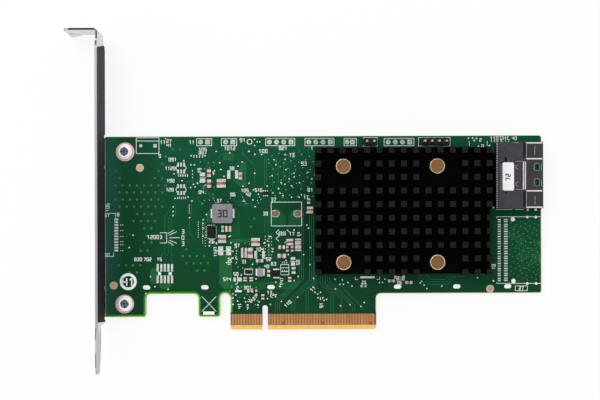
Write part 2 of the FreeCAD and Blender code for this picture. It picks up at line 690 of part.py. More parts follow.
def port_shell():
    """The formed steel mouth: a seamed roof with two latch windows, two cheeks and feet."""
    outside = box(PORT_MOUTH, PORT_END, PORT_BOTTOM, PORT_TOP, 0, PORT_HEIGHT)
    cuts = [box(
        PORT_MOUTH, PORT_END, PORT_BOTTOM + PORT_STEEL, PORT_TOP - PORT_STEEL,
        0, PORT_HEIGHT - PORT_STEEL)]
    x1 = PORT_END - PORT_WINDOW_FROM_END + PORT_WINDOW_LENGTH / 2
    for y in row(PORT_MIDDLE, 2, PORT_WINDOW_SPREAD):
        cuts.append(box(
            x1 - PORT_WINDOW_LENGTH, x1, y - PORT_WINDOW_WIDTH / 2, y + PORT_WINDOW_WIDTH / 2,
            PORT_HEIGHT - PORT_STEEL, PORT_HEIGHT))
    for y in row(PORT_MIDDLE, 2, PORT_SEAM_SPREAD):
        cuts.append(box(
            PORT_MOUTH, PORT_END, y - PORT_SEAM / 2, y + PORT_SEAM / 2,
            PORT_HEIGHT - PORT_SEAM_DEPTH, PORT_HEIGHT))
    feet = []
    for x in (PORT_MOUTH, PORT_END - PORT_LEG_LENGTH):
        for y in (PORT_BOTTOM - PORT_LEG_REACH, PORT_TOP):
            feet.append(box(x, x + PORT_LEG_LENGTH, y, y + PORT_LEG_REACH, 0, PORT_STEEL))
    return outside.cut(cuts).fuse(feet).removeSplitter()


def port_tails():
    """The contacts' tails, which run down the back of the port and turn out onto the board."""
    profile = [
        Vector(PORT_START, 0, 0),
        Vector(PORT_START - TAIL_REACH, 0, 0),
        Vector(PORT_START - TAIL_REACH, 0, TAIL_THICK),
        Vector(PORT_START - TAIL_THICK, 0, TAIL_THICK),
        Vector(PORT_START - TAIL_THICK, 0, TAIL_RISE),
        Vector(PORT_START, 0, TAIL_RISE),
        Vector(PORT_START, 0, 0),
    ]
    tail = Part.Face(Part.makePolygon(profile)).extrude(Vector(0, TAIL_WIDTH, 0))
    count = round((PORT_WIDTH - TAIL_ROW_MARGIN) / TAIL_PITCH)
    places = row(PORT_MIDDLE, count, TAIL_PITCH)
    return Part.makeCompound([tail.translated(Vector(0, y - TAIL_WIDTH / 2, 0)) for y in places])


def port_label():
    """The blank sticker on the port's housing."""
    x = PORT_START + LABEL_SETBACK
    y = PORT_MIDDLE - LABEL_DROP
    return chamfered_block(
        x, y, LABEL_LENGTH, LABEL_HEIGHT, PORT_HEIGHT, PORT_HEIGHT + LABEL_THICK, LABEL_CUT)


def header_block(middle, count):
    """A header's plastic base, one chamfered cell to each pin."""
    cells = []
    for x in row(middle, count, HEADER_PITCH):
        cell = chamfered_block(
            x, HEADER_LEVEL, HEADER_PITCH, HEADER_DEPTH, 0, HEADER_BASE, HEADER_CHAMFER)
        bore = centred_block(x, HEADER_LEVEL, HEADER_PIN_SIDE, HEADER_PIN_SIDE, 0, HEADER_BASE)
        cells.append(cell.cut(bore))
    return cells[0].fuse(cells[1:]).removeSplitter()


def header_pins(middle, count):
    """A header's square pins, through the base and the board."""
    pins = []
    for x in row(middle, count, HEADER_PITCH):
        pins.append(centred_block(
            x, HEADER_LEVEL, HEADER_PIN_SIDE, HEADER_PIN_SIDE, HEADER_PIN_END, HEADER_PIN_TOP))
    return Part.makeCompound(pins)


def power_inductor():
    """The moulded power inductor."""
    x, y, length, width, height, _ = POWER_COIL
    return chamfered_block(x, y, length, width, 0, height, COIL_CUT)


def small_inductor():
    """The small wire-wound inductor's square body."""
    x, y, length, width, height, _ = SMALL_COIL
    return centred_block(x, y, length, width, 0, height)


def coil_feet(size):
    """The two flat terminals bent up the ends of an inductor."""
    x, y, length, _, _, foot = size
    feet = []
    for side in (-1, 1):
        face = x + side * length / 2
        tip = face + side * COIL_FOOT_REACH
        riser = face + side * COIL_FOOT_THICK
        flat = centred_block((face + tip) / 2, y, COIL_FOOT_REACH, foot, 0, COIL_FOOT_THICK)
        upright = centred_block(
            (face + riser) / 2, y, COIL_FOOT_THICK, foot, COIL_FOOT_THICK, COIL_FOOT_HEIGHT)
        feet.append(flat.fuse(upright).removeSplitter())
    return feet


def inductor_feet():
    """The terminals of both inductors."""
    return Part.makeCompound(coil_feet(POWER_COIL) + coil_feet(SMALL_COIL))


def regulator_chip():
    """The leadless voltage regulator."""
    x, y, length, width, height = REGULATOR
    return centred_block(x, y, length, width, 0, height)


def leaded_chips():
    """The small leaded packages."""
    return Part.makeCompound([
        centred_block(x, y, length, width, 0, height) for x, y, length, width, height, *_ in LEADED_CHIPS])


def chip_leads():
    """The leads along both long sides of each leaded package."""
    leads = []
    for x, y, length, width, _, lead_width, pitch in LEADED_CHIPS:
        for place in row(x, round(length / pitch), pitch):
            for side in (-1, 1):
                middle = y + side * (width + LEAD_REACH) / 2
                leads.append(centred_block(place, middle, lead_width, LEAD_REACH, 0, LEAD_THICK))
    return Part.makeCompound(leads)


def chip_bodies(chips):
    """The bodies of two-ended chip parts between their end caps."""
    bodies = []
    for x, y, along, across, height, turned in chips:
        if turned:
            across *= 1 - 2 * END_SHARE
        else:
            along *= 1 - 2 * END_SHARE
        bodies.append(centred_block(x, y, along, across, 0, height))
    return Part.makeCompound(bodies)


def chip_ends():
    """The tinned end caps of every chip part, a little proud of the body between them."""
    ends = []
    for x, y, along, across, height, turned in CAPACITORS + RESISTORS:
        for side in (-1, 1):
            if turned:
                end = across * END_SHARE
                ends.append(centred_block(
                    x, y + side * (across - end) / 2, along + 2 * END_WRAP, end, 0, height + END_WRAP))
            else:
                end = along * END_SHARE
                ends.append(centred_block(
                    x + side * (along - end) / 2, y, end, across + 2 * END_WRAP, 0, height + END_WRAP))
    return Part.makeCompound(ends)


def adapter():
    """Every node of the card by name."""
    return {
        "circuit_board": circuit_board(),
        "edge_contacts": edge_contacts(),
        "io_bracket": io_bracket(),
        "shield_film": shield_film(),
        "bracket_screws": bracket_screws(),
        "controller_package": controller_package(),
        "controller_lid": controller_lid(),
        "thermal_pad": thermal_pad(),
        "heat_sink": heat_sink(),
        "push_pins": push_pins(),
        "push_pin_springs": push_pin_springs(),
        "port_housing": port_housing(),
        "port_shell": port_shell(),
        "port_tails": port_tails(),
        "port_label": port_label(),
        "header_block_two": header_block(HEADER_TWO_X, 2),
        "header_block_four": header_block(HEADER_FOUR_X, 4),
        "header_pins_two": header_pins(HEADER_TWO_X, 2),
        "header_pins_four": header_pins(HEADER_FOUR_X, 4),
        "power_inductor": power_inductor(),
        "small_inductor": small_inductor(),
        "inductor_feet": inductor_feet(),
        "regulator_chip": regulator_chip(),
        "leaded_chips": leaded_chips(),
        "chip_leads": chip_leads(),
        "capacitor_bodies": chip_bodies(CAPACITORS),
        "resistor_bodies": chip_bodies(RESISTORS),
        "chip_ends": chip_ends(),
    }


os.makedirs("parts", exist_ok=True)
for name, shape in adapter().items():
    shape.translate(TO_ORIGIN)
    shape.exportStep("parts/" + name + ".step")
    print(name, "solids", len(shape.Solids), "valid", shape.isValid())
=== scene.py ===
# %% [markdown]
# # A storage card, dressed
# The object is a PCI Express storage card: a green circuit board with a black pin-fin heat
# sink, a cable port at one end and a folded steel bracket at the other. Its solids come from
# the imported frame. This file gives them their finishes, adds what lies on the board as print,
# copper and solder, and sets up the camera and the light of the photograph.
#
# Everything that is added lies on a flat board, so it could be painted with an image. Thin
# solid pieces are used instead, because they stay sharp at any distance and need no picture.

# %% The frame and the tools
import math

import bpy
import numpy as np
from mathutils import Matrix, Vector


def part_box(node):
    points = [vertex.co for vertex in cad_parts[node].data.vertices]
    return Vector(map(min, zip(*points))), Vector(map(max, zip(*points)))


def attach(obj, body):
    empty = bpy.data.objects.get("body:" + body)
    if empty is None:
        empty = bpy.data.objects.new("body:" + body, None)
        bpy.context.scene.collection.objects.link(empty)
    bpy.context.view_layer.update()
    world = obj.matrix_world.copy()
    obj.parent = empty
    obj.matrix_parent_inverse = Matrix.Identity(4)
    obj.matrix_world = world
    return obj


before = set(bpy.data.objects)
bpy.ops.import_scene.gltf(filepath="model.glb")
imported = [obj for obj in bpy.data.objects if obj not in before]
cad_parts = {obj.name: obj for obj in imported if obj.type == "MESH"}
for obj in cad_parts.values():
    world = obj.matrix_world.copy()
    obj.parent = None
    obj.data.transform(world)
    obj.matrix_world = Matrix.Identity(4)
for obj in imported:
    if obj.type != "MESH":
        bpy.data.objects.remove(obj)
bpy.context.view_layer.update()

print("solids in the frame:", len(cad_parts))

# %% [markdown]
# ## Where things are
# A maker measures a circuit board from its own edges, so places on it are written as
# millimetres along the board from its bracket end, millimetres up from the tips of its gold
# contacts, and height above its component face. The board's own solid says where that face
# is in the shared frame. Small print was read off the photograph, so a second helper turns
# the photograph's pixels into board millimetres.

# %% Board millimetres and photograph pixels
MILLIMETRE = 0.001
PIXELS_PER_MM = np.array([2.808, -2.795])
BOARD_CORNER_PIXEL = np.array([104.4, 329.4])
PICTURE_MIDDLE = np.array([300.0, 200.0])
PRINT_SHIFT = np.array([0.0, 0.35])
CAMERA_ROLL = -0.19
board_low, board_high = (np.array(corner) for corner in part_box("circuit_board"))
BOARD_ORIGIN = np.array([board_low[0], board_low[1], board_high[2]])
LEFT, LOWER, FACE = BOARD_ORIGIN.tolist()
BOARD_LENGTH, BOARD_WIDTH, BOARD_THICK = (board_high - board_low) / MILLIMETRE


def in_frame(points):
    """Board millimetres to metres in the frame: scaled by a thousandth, then moved by the
    place of the board's corner."""
    return np.asarray(points, float) * MILLIMETRE + BOARD_ORIGIN


def on_board(pixels):
    """Photograph pixels to board millimetres. The camera is rolled a little, so a pixel is
    first turned back about the picture's middle: (x, y) goes to (x - turn * y, y + turn * x).
    Then its distance from the corner's pixel is divided by the pixels to a millimetre."""
    away = np.asarray(pixels, float) - PICTURE_MIDDLE
    turn = math.radians(-CAMERA_ROLL)
    level = away + turn * away[..., ::-1] * [-1, 1] + PICTURE_MIDDLE + PRINT_SHIFT
    return (level - BOARD_CORNER_PIXEL) / PIXELS_PER_MM


def sized_on_board(table):
    """Rows of (x, y, width, height) in pixels to rows of the same in board millimetres."""
    table = np.asarray(table, float)
    return np.hstack([on_board(table[:, :2]), table[:, 2:] / abs(PIXELS_PER_MM[0])])


def sized(places, *sizes):
    """The places, each with the same sizes after it, as the rows of one table."""
    return np.hstack([places, np.broadcast_to(sizes, (len(places), len(sizes)))])


def top_of(node):
    """How high a solid's top stands above the board's face, in board millimetres."""
    return (float(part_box(node)[1][2]) - FACE) / MILLIMETRE


print("board, mm:", BOARD_LENGTH.round(2), BOARD_WIDTH.round(2), BOARD_THICK.round(2))

# %% [markdown]
# ## Light as written
# A colour is easiest to match when it is written as it is seen. Screen colours are stored with
# a curve, and the shader wants them without it, so this helper takes the curve off.

# %% Colours


def colour(code):
    """A six-digit screen colour to linear light: each channel below 0.04045 is divided by
    12.92, and the rest is ((c + 0.055) / 1.055) to the power 2.4."""
    channels = np.array([int(code[place:place + 2], 16) for place in (1, 3, 5)]) / 255
    curved = ((channels + 0.055) / 1.055) ** 2.4
    linear = np.where(channels <= 0.04045, channels / 12.92, curved)
    return (*linear.tolist(), 1.0)


print("board green in linear light:", [round(c, 3) for c in colour("#17492f")])

# %% [markdown]
# ## Shader arithmetic
# A finish is a sum: a base colour, plus grain, minus wear. Drawn as nodes, such a sum is hard to
# read, so a socket is wrapped in a small class and the sum is written as Python arithmetic.
# Each operator adds one Math node. Any other node comes from the `node` method.

# %% A wire that can be added and multiplied


class Wire:
    """One output of a shader tree. `+ - * /` add Math nodes, and `node` adds any other."""

    def __init__(self, tree, socket=None):
        self.tree = tree
        self.socket = socket

    def node(self, kind, settings=None, inputs=None, output=0):
        """Adds a node of this kind: settings first, then a value or a wire for each input."""
        made = self.tree.nodes.new(kind)
        for name, value in (settings or {}).items():
            setattr(made, name, value)
        for key, value in (inputs or {}).items():
            if isinstance(value, Wire):
                self.tree.links.new(value.socket, made.inputs[key])
            else:
                made.inputs[key].default_value = value
        return Wire(self.tree, made.outputs[output])

    def math(self, operation, *values):
        """One Math node on these values, in order."""
        return self.node("ShaderNodeMath", {"operation": operation}, dict(enumerate(values)))

    def __add__(self, other):
        return self.math("ADD", self, other)

    def __sub__(self, other):
        return self.math("SUBTRACT", self, other)

    def __mul__(self, other):
        return self.math("MULTIPLY", self, other)

    def __truediv__(self, other):
        return self.math("DIVIDE", self, other)

    def __rsub__(self, other):
        return self.math("SUBTRACT", other, self)

    def __rtruediv__(self, other):
        return self.math("DIVIDE", other, self)

    __radd__ = __add__
    __rmul__ = __mul__

    def step(self, start, end):
        """Nought below start, one above end, and a straight rise between them."""
        return self.node(
            "ShaderNodeMapRange", None,
            {"Value": self, "From Min": start, "From Max": end, "To Min": 0.0, "To Max": 1.0})

    def above(self, level, soft):
        """One where this wire is over the level, nought where it is under it, soft between."""
        return (self - level).step(0.0, soft)

    def below(self, level, soft):
        """One where this wire is under the level, nought where it is over it, soft between."""
        return (level - self).step(0.0, soft)

    def waves(self, pitch):
        """The sine of this length, with one whole turn to each pitch."""
        return self.math("SINE", self * (2 * math.pi / pitch))

    def nearest(self, marks):
        """How far off the nearer of two marks is along this wire."""
        return self.math("MINIMUM", *(self.math("ABSOLUTE", self - float(mark)) for mark in marks))

    def span(self, other):
        """The distance made by two lengths at right angles: the root of a * a + b * b."""
        return self.math("SQRT", self * self + other * other)

    def blend(self, low, high):
        """The colour low where this wire is nought and high where it is one."""
        low, high = (colour(shade) if isinstance(shade, str) else shade for shade in (low, high))
        return self.node(
            "ShaderNodeMix", {"data_type": "RGBA"}, {0: self, 6: low, 7: high}, output=2)

    def place(self):
        """Where the surface is, in metres, as three wires."""
        where = self.node("ShaderNodeTexCoord", output=3)
        return [self.node("ShaderNodeSeparateXYZ", None, {0: where}, axis) for axis in range(3)]

    def upright(self):
        """How far the surface faces up: 1 on top, 0 on a wall, -1 below."""
        facing = self.node("ShaderNodeNewGeometry", output=1)
        return self.node("ShaderNodeSeparateXYZ", None, {0: facing}, 2)

    def noise(self, per_metre, detail=3.0, stretch=(1.0, 1.0, 1.0)):
        """Cloudy values about one half, with so many patches to the metre, drawn out along the
        axes whose stretch is small."""
        where = self.node("ShaderNodeTexCoord", output=3)
        spread = self.node("ShaderNodeMapping", None, {"Vector": where, "Scale": stretch})
        return self.node(
            "ShaderNodeTexNoise", None, {"Vector": spread, "Scale": per_metre, "Detail": detail})


print("operators wrapped: + - * /")

# %% [markdown]
# ## A finish
# Most finishes here are the same idea: two near colours mixed by a cloudy noise, a roughness
# that follows the same noise, and a finer noise that lifts the surface a little. Giving each
# its own colours, grain size and gloss is enough to tell tin from nickel or ceramic from
# moulded plastic. A finish that depends on place gets its own recipe further on.

# %% The general finish
ROUGHNESS_SPREAD = 0.16
GRAIN_TO_PATCH = 5
GRAIN_HEIGHT = 4e-6
EVEN = (1.0, 1.0, 1.0)


def shader_of(made):
    """A material's one shader."""
    return made.node_tree.nodes["Principled BSDF"]


def material_of(name, roughness, metallic=0.0, specular=0.35):
    """A new material and a wire to build on, with the shader's even values set."""
    made = bpy.data.materials.new(name)
    made.use_nodes = True
    inputs = shader_of(made).inputs
    inputs["Roughness"].default_value = roughness
    inputs["Metallic"].default_value = metallic
    inputs["Specular IOR Level"].default_value = specular
    return made, Wire(made.node_tree)


def surface(made, base, roughness, height, distance):
    """Feeds a material's shader with a colour, a roughness and a surface lifted by a wire of
    heights, each unit of it this many metres."""
    lift = {"Strength": 1.0, "Distance": distance, "Height": height}
    lifted = base.node("ShaderNodeBump", None, lift)
    for socket, wire in (("Base Color", base), ("Roughness", roughness), ("Normal", lifted)):
        wire.tree.links.new(wire.socket, shader_of(made).inputs[socket])
    return made


def finish(name, dark, light, patches, roughness, metallic=0.0, specular=0.35,
           bump=GRAIN_HEIGHT, stretch=EVEN):
    """Two colours mixed by noise, a roughness that follows it, and fine grain as height."""
    made, wire = material_of(name, roughness, metallic, specular)
    cloud = wire.noise(patches, 4.0, stretch)
    grain = wire.noise(patches * GRAIN_TO_PATCH, 2.0, stretch)
    follows = cloud * ROUGHNESS_SPREAD + (roughness - ROUGHNESS_SPREAD / 2)
    return surface(made, cloud.step(0.3, 0.7).blend(dark, light), follows, grain, bump)


def dress(node, material):
    """Puts a material on every slot of a solid from the frame."""
    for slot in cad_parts[node].material_slots:
        slot.material = material


print("general finish ready")

# %% [markdown]
# ## The board itself
# A bare board is glass cloth and resin under a green lacquer called solder mask. From above it is a
# deep satin green, with the cloth's weave just showing as fine squares. Near the bracket the green
# is painted lighter and bluer, as painted light against the bracket's shadow, and a band a little
# further in and a patch beside the heat sink are painted darker, as painted shade. Its cut edges
# show the resin itself, which glows yellow-green. The mask stops above the contacts, and the bevel
# below them shows bare pale resin and gold. All of that follows from where a point is and which way
# it faces, so one recipe covers the whole board.

# %% Solder mask, cut edge and bevel
CONTACT_TOP, BEVEL_TOP = LOWER + 5.42 * MILLIMETRE, LOWER + 1.6 * MILLIMETRE
CONTACT_SIDE = LEFT + 43.0 * MILLIMETRE
WEAVE_PITCH = 0.9 * MILLIMETRE
SHADE_MIDDLE, SHADE_REACH = 10.5 * MILLIMETRE, 11 * MILLIMETRE
PAINTED_LIGHT_END, PAINTED_LIGHT_REACH = 6.5 * MILLIMETRE, 6 * MILLIMETRE
SINK_SHADE_X, SINK_SHADE_Y = 73.5 * MILLIMETRE, 36 * MILLIMETRE
SINK_SHADE_HALF_WIDTH, SINK_SHADE_HALF_HEIGHT = 12.5 * MILLIMETRE, 30 * MILLIMETRE
FRONT_DEPTH, FRONT_SOFT = 0.3 * MILLIMETRE, 0.2 * MILLIMETRE
SHARP = 2e-5
ALONG_CONTACT = (1.0, 0.05, 1.0)


def board_finish():
    """Green by place, pale where the face isn't level, brown between the contacts, and gold
    below the bevel line."""
    made, wire = material_of("solder_mask_green", 0.42, specular=0.03)
    x, y, z = wire.place()
    cloud = wire.noise(60, 4.0)
    up = (y - LOWER) / float(BOARD_WIDTH * MILLIMETRE) + cloud * 0.12 - 0.06
    green = up.step(0.05, 0.5).blend("#133a22", "#0f4a2d")
    green = up.step(0.62, 1.0).blend(green, "#155339")
    green = (wire.noise(22, 2.0).step(0.45, 0.7) * 0.35).blend(green, "#134b35")
    weave = x.waves(WEAVE_PITCH) * y.waves(WEAVE_PITCH)
    green = (weave * 0.12 + 0.12).blend(green, "#1d5b38")
    front = z.above(FACE - FRONT_DEPTH, FRONT_SOFT)
    # Painted shade: a darker band across the board near the bracket end.
    shaded = 1.0 - wire.math("ABSOLUTE", x - (LEFT + SHADE_MIDDLE)) / SHADE_REACH
    green = (shaded.step(0.0, 1.0) * front * 0.5).blend(green, "#10361f")
    # Painted light: the green near the bracket is made lighter and bluer, to lift the bracket's
    # shadow.
    painted_light_near_bracket = x.below(LEFT + PAINTED_LIGHT_END, PAINTED_LIGHT_REACH)
    green = (painted_light_near_bracket * (up * 0.4 + 0.55)).blend(green, "#326c57")
    # Painted shade: a soft dark patch on the board beside the heat sink's left side.
    across = (x - (LEFT + SINK_SHADE_X)) / SINK_SHADE_HALF_WIDTH
    along = (y - (LOWER + SINK_SHADE_Y)) / SINK_SHADE_HALF_HEIGHT
    painted_shade_by_sink = (1.0 - across.span(along)).step(0.0, 0.8)
    green = (painted_shade_by_sink * front * 0.6).blend(green, "#0c2617")
    level = wire.math("ABSOLUTE", wire.upright())
    edge = 1.0 - level.step(0.35, 0.8)
    resin = wire.noise(900, 2.0).blend("#6f9a3a", "#a9c46a")
    bare = y.below(CONTACT_TOP, SHARP) * x.above(CONTACT_SIDE, SHARP)
    streaks = wire.noise(1500, 2.0, ALONG_CONTACT)
    painted = (bare * level).blend(green, streaks.blend("#875839", "#986843"))
    bevel = y.below(BEVEL_TOP, SHARP)
    base = bevel.blend(edge.blend(painted, resin), streaks.blend("#eeb463", "#fcd889"))
    roughness = 0.36 + cloud * 0.12 + edge * 0.3
    return surface(made, base, roughness, weave + wire.noise(4000, 2.0), 1.5e-6)


dress("circuit_board", board_finish())

# %% [markdown]
# ## Gold contacts
# The edge contacts are copper with hard gold over nickel. They look dull brown-gold from above,
# with fine scratches along the way they slide into the slot, and each differs a little from
# its neighbours. A noise drawn out along the contact gives the scratches, and one that is even
# along it gives the difference.

# %% Gold for the edge


def contact_gold():
    """Fine lines along the contact, and a tint that changes from contact to contact."""
    made, wire = material_of("contact_gold", 0.4, metallic=0.75, specular=0.3)
    scratches = wire.noise(9000, 2.0, (1.0, 0.02, 1.0))
    tint = wire.noise(420, 0.0, (1.0, 0.0, 0.0)).step(0.35, 0.65).blend("#a57347", "#b48156")
    base = (scratches * 0.4).blend(tint, "#bf9464")
    return surface(made, base, 0.32 + scratches * 0.25, scratches, 3e-6)


dress("edge_contacts", contact_gold())

# %% [markdown]
# ## Bracket, film and screws
# The bracket is plated steel with the fine lines of the rolling mill. Such lines are very long and
# very narrow, so the noise is stretched hard along the strip. Its faces that look up high on the
# bracket are painted darker grey, and its bent tongue at the bottom greyer, both as painted shade;
# in a few stretches where the press sheared it, that up-facing edge is drawn near black. The film
# behind it is black plastic. The two screws are bright pan heads, turned, so their lines run round
# them.

# %% Bracket steel, film and screw
SHEARED = (
    (-10.6, -1.0, 105.35, 106.4), (-1.0, -0.42, 102.3, 105.8), (-1.2, -0.75, 100.2, 101.9),
    (-1.3, -0.85, -1.9, 2.2), (-1.3, -0.85, -11.4, -6.3),
)
EDGE_LEVEL = 12 * MILLIMETRE
TONGUE_TOP, TONGUE_SOFT = 1.5 * MILLIMETRE, 2 * MILLIMETRE
SHEARED_ALONG, SHEARED_ACROSS = 0.2 * MILLIMETRE, 0.1 * MILLIMETRE


def rolled_steel():
    """Long mill lines down the bracket, faint stains, and a little height to the lines. A
    sheared stretch is where the face looks up, stands high above the board and lies between
    two levels along the bracket."""
    made, wire = material_of("bracket_plating", 0.34, metallic=0.85, specular=0.4)
    x, y, z = wire.place()
    mill = wire.noise(5000, 3.0, (1.0, 0.012, 1.0))
    stain = wire.noise(55, 4.0)
    base = mill.step(0.3, 0.7).blend("#d0d1d3", "#e3e4e6")
    base = (stain.step(0.55, 0.8) * 0.35).blend(base, "#bfc0c3")
    # The tongue at the bottom is painted greyer: painted shade.
    tongue = y.below(LOWER + TONGUE_TOP, TONGUE_SOFT)
    base = (tongue * 0.75).blend(base, "#a9a9ab")
    # Faces that look up high on the bracket are painted darker grey as shade, and near black in the
    # sheared stretches below.
    looks_up = wire.upright().step(0.5, 0.8) * z.above(FACE + EDGE_LEVEL, SHEARED_ACROSS)
    base = (looks_up * (1.0 - tongue) * 0.8).blend(base, "#8d8b90")
    for left, right, low, high in SHEARED:
        along = (y.above(LOWER + low * MILLIMETRE, SHEARED_ALONG)
                 * y.below(LOWER + high * MILLIMETRE, SHEARED_ALONG))
        across = (x.above(LEFT + left * MILLIMETRE, SHEARED_ACROSS)
                  * x.below(LEFT + right * MILLIMETRE, SHEARED_ACROSS))
        base = (looks_up * along * across).blend(base, "#151416")
    return surface(made, base, 0.24 + mill * 0.2 + stain * 0.08, mill, 4e-6)


RECESS_RADIUS, RECESS_RAGGED = 1.12 * MILLIMETRE, 1.0 * MILLIMETRE
SCREW_PAINTED_LIGHT = 0.16
BLACK, WHITE = colour("#000000"), colour("#ffffff")


def screw_finish():
    """Turned rings about each screw: a sine of the distance from its middle. The recess and a
    ragged patch round it are painted shade, so its reach is a radius plus noise. The rest glows a
    little: painted light on the bright metal."""
    made, wire = material_of("screw_nickel", 0.3, specular=0.5)
    x, y, _ = wire.place()
    low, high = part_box("bracket_screws")
    radius = (high[0] - low[0]) / 2
    distance = (x - (low[0] + radius)).span(y.nearest((low[1] + radius, high[1] - radius)))
    rings = distance.waves(0.35 * MILLIMETRE)
    speckle = wire.noise(2600, 3.0)
    recess = (speckle * RECESS_RAGGED + RECESS_RADIUS - distance).step(0.0, 1e-4)
    shade = speckle.step(0.4, 0.62).blend("#262f45", "#8b95ab")
    # The emission on the metal outside the recess is painted light, not a lamp.
    glow = recess.blend(WHITE, BLACK)
    made.node_tree.links.new(glow.socket, shader_of(made).inputs["Emission Color"])
    shader_of(made).inputs["Emission Strength"].default_value = SCREW_PAINTED_LIGHT
    base = recess.blend((rings * 0.5 + 0.5).blend("#f4f5f9", "#ffffff"), shade)
    return surface(made, base, 0.26 + wire.noise(2500) * 0.2, rings, 5e-6)


FILM_DARK, FILM_LIGHT = -12 * MILLIMETRE, 30 * MILLIMETRE


def film_finish():
    """Black film, greyer in the upper half of the picture, where more light gets behind the
    bracket, and violet black below."""
    made, wire = material_of("film_black", 0.7, specular=0.04)
    _, y, _ = wire.place()
    cloud = wire.noise(400, 3.0)
    lower, upper = cloud.blend("#2b2630", "#322d37"), cloud.blend("#3f3a40", "#474248")
    base = y.step(FILM_DARK, FILM_LIGHT).blend(lower, upper)
    return surface(made, base, 0.62 + cloud * 0.14, cloud, 4e-6)


dress("io_bracket", rolled_steel())
dress("shield_film", film_finish())
dress("bracket_screws", screw_finish())

# %% [markdown]
# ## The controller, its pad and the heat sink
# Under the heat sink are the controller's green laminate, its nickel lid and a grey pad. The
# heat sink is cast or skived aluminium with a black anodised coat. Its cut fin tops are a
# shade lighter than the sunk floor between them, where hardly any light gets in, so the recipe
# mixes two blacks by height and by which way the face looks.

# %% Controller and heat sink finishes
CREST_DEPTH, CREST_SOFT = 0.4 * MILLIMETRE, 0.3 * MILLIMETRE


def anodised_finish():
    """Near black in the valleys, dark grey on the tops, with saw lines across the tops."""
    made, wire = material_of("anodised_black", 0.6, specular=0.02)
    _, _, z = wire.place()
    top = float(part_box("heat_sink")[1][2])
    crest = z.above(top - CREST_DEPTH, CREST_SOFT) * wire.upright().step(0.5, 0.9)
    saw = wire.noise(2600, 2.0, (0.06, 1.0, 1.0))
    cloud = wire.noise(110, 3.0)
    crests = (saw * 0.6 + cloud * 0.4).step(0.3, 0.7).blend("#1a1a1a", "#232323")
    base = crest.blend(cloud.blend("#020202", "#060606"), crests)
    return surface(made, base, 0.52 + saw * 0.2, saw, 6e-6)


dress("heat_sink", anodised_finish())
dress("controller_package", finish("package_laminate", "#1d5a38", "#2a6b45", 500, 0.5,
                                   specular=0.2))
dress("controller_lid", finish("lid_nickel", "#a7a8aa", "#bcbdc0", 900, 0.36, metallic=0.8))
dress("thermal_pad", finish("pad_silicone", "#8d9296", "#a2a7aa", 1200, 0.8, specular=0.15))

# %% [markdown]
# ## Push pins and springs
# Four brass push pins hold the heat sink down. Each head is turned, with a rolled rim round a
# duller, redder face; the rim's bright colour is a painted highlight. The springs under the heads
# are dull steel wire.

# %% Brass and spring wire
HEAD_RADIUS = 2.65 * MILLIMETRE
FACE_RADIUS, FACE_SOFT = 2.3 * MILLIMETRE, 0.06 * MILLIMETRE
ROSE_RADIUS, ROSE_SOFT = 0.7 * MILLIMETRE, 1.1 * MILLIMETRE
TURNING_PITCH = 0.4 * MILLIMETRE
pin_low, pin_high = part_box("push_pins")
PIN_XS = (pin_low[0] + HEAD_RADIUS, pin_high[0] - HEAD_RADIUS)
PIN_YS = (pin_low[1] + HEAD_RADIUS, pin_high[1] - HEAD_RADIUS)


def turned_brass():
    """The distance from the nearest head's middle gives the rosy middle and the dull face,
    and a sine of it gives the marks of turning."""
    made, wire = material_of("turned_brass", 0.34, metallic=0.8, specular=0.4)
    x, y, _ = wire.place()
    distance = x.nearest(PIN_XS).span(y.nearest(PIN_YS))
    cloud = wire.noise(700, 3.0)
    golden = cloud.blend("#74542c", "#85633a")
    dull = distance.above(ROSE_RADIUS, ROSE_SOFT).blend("#83593f", golden)
    # Painted highlight: beyond the face, the rolled rim is coloured bright.
    base = distance.above(FACE_RADIUS, FACE_SOFT).blend(dull, "#c79c78")
    return surface(made, base, 0.3 + cloud * 0.2, distance.waves(TURNING_PITCH), 4e-6)


dress("push_pins", turned_brass())
dress("push_pin_springs", finish("spring_wire", "#7d7e80", "#98999b", 1500, 0.36, metallic=0.9))

# %% [markdown]
# ## Port, headers and parts
# The port is a dark moulded block with a formed steel hood. Headers are black plastic with gold
# pins. The chips on the board are ceramic, ferrite or epoxy with tinned ends. All of these are
# even materials with fine grain, so the general finish serves, with numbers for each.

# %% Finishes for port, headers and parts
tin = finish("solder_tin", "#d9dada", "#f4f5f5", 1800, 0.34, metallic=0.55, bump=8e-6)
land_tin = finish("land_tin", "#a3aca5", "#e6ebe7", 2600, 0.4, metallic=0.3, bump=8e-6)
via_tin = finish("via_tin", "#dfe8e2", "#f6fbf8", 2600, 0.4, metallic=0.1)
end_tin = finish("chip_end_tin", "#aba6a1", "#dcd8d2", 1300, 0.42, metallic=0.3, bump=8e-6)
dress("port_housing", finish("port_plastic", "#37383f", "#424349", 1300, 0.55, specular=0.2))
dress("port_shell", finish("hood_steel", "#343136", "#3d3a3e", 900, 0.45, metallic=0.15,
                           specular=0.2, stretch=(1.0, 0.05, 1.0)))
TAIL_BEND_DEPTH, TAIL_BEND_SOFT = 1.5 * MILLIMETRE, 1.0 * MILLIMETRE


def tail_finish():
    """Bright where a tail bends over near its top, and dark lower down, where no light gets
    in between the rows."""
    made, wire = material_of("tail_tin", 0.5, metallic=0.2, specular=0.1)
    _, _, z = wire.place()
    bright = z.above(float(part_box("port_tails")[1][2]) - TAIL_BEND_DEPTH, TAIL_BEND_SOFT)
    cloud = wire.noise(1500, 3.0)
    base = bright.blend("#141617", cloud.blend("#a9adb1", "#d6d9dc"))
    return surface(made, base, 0.42 + cloud * 0.16, cloud, 4e-6)


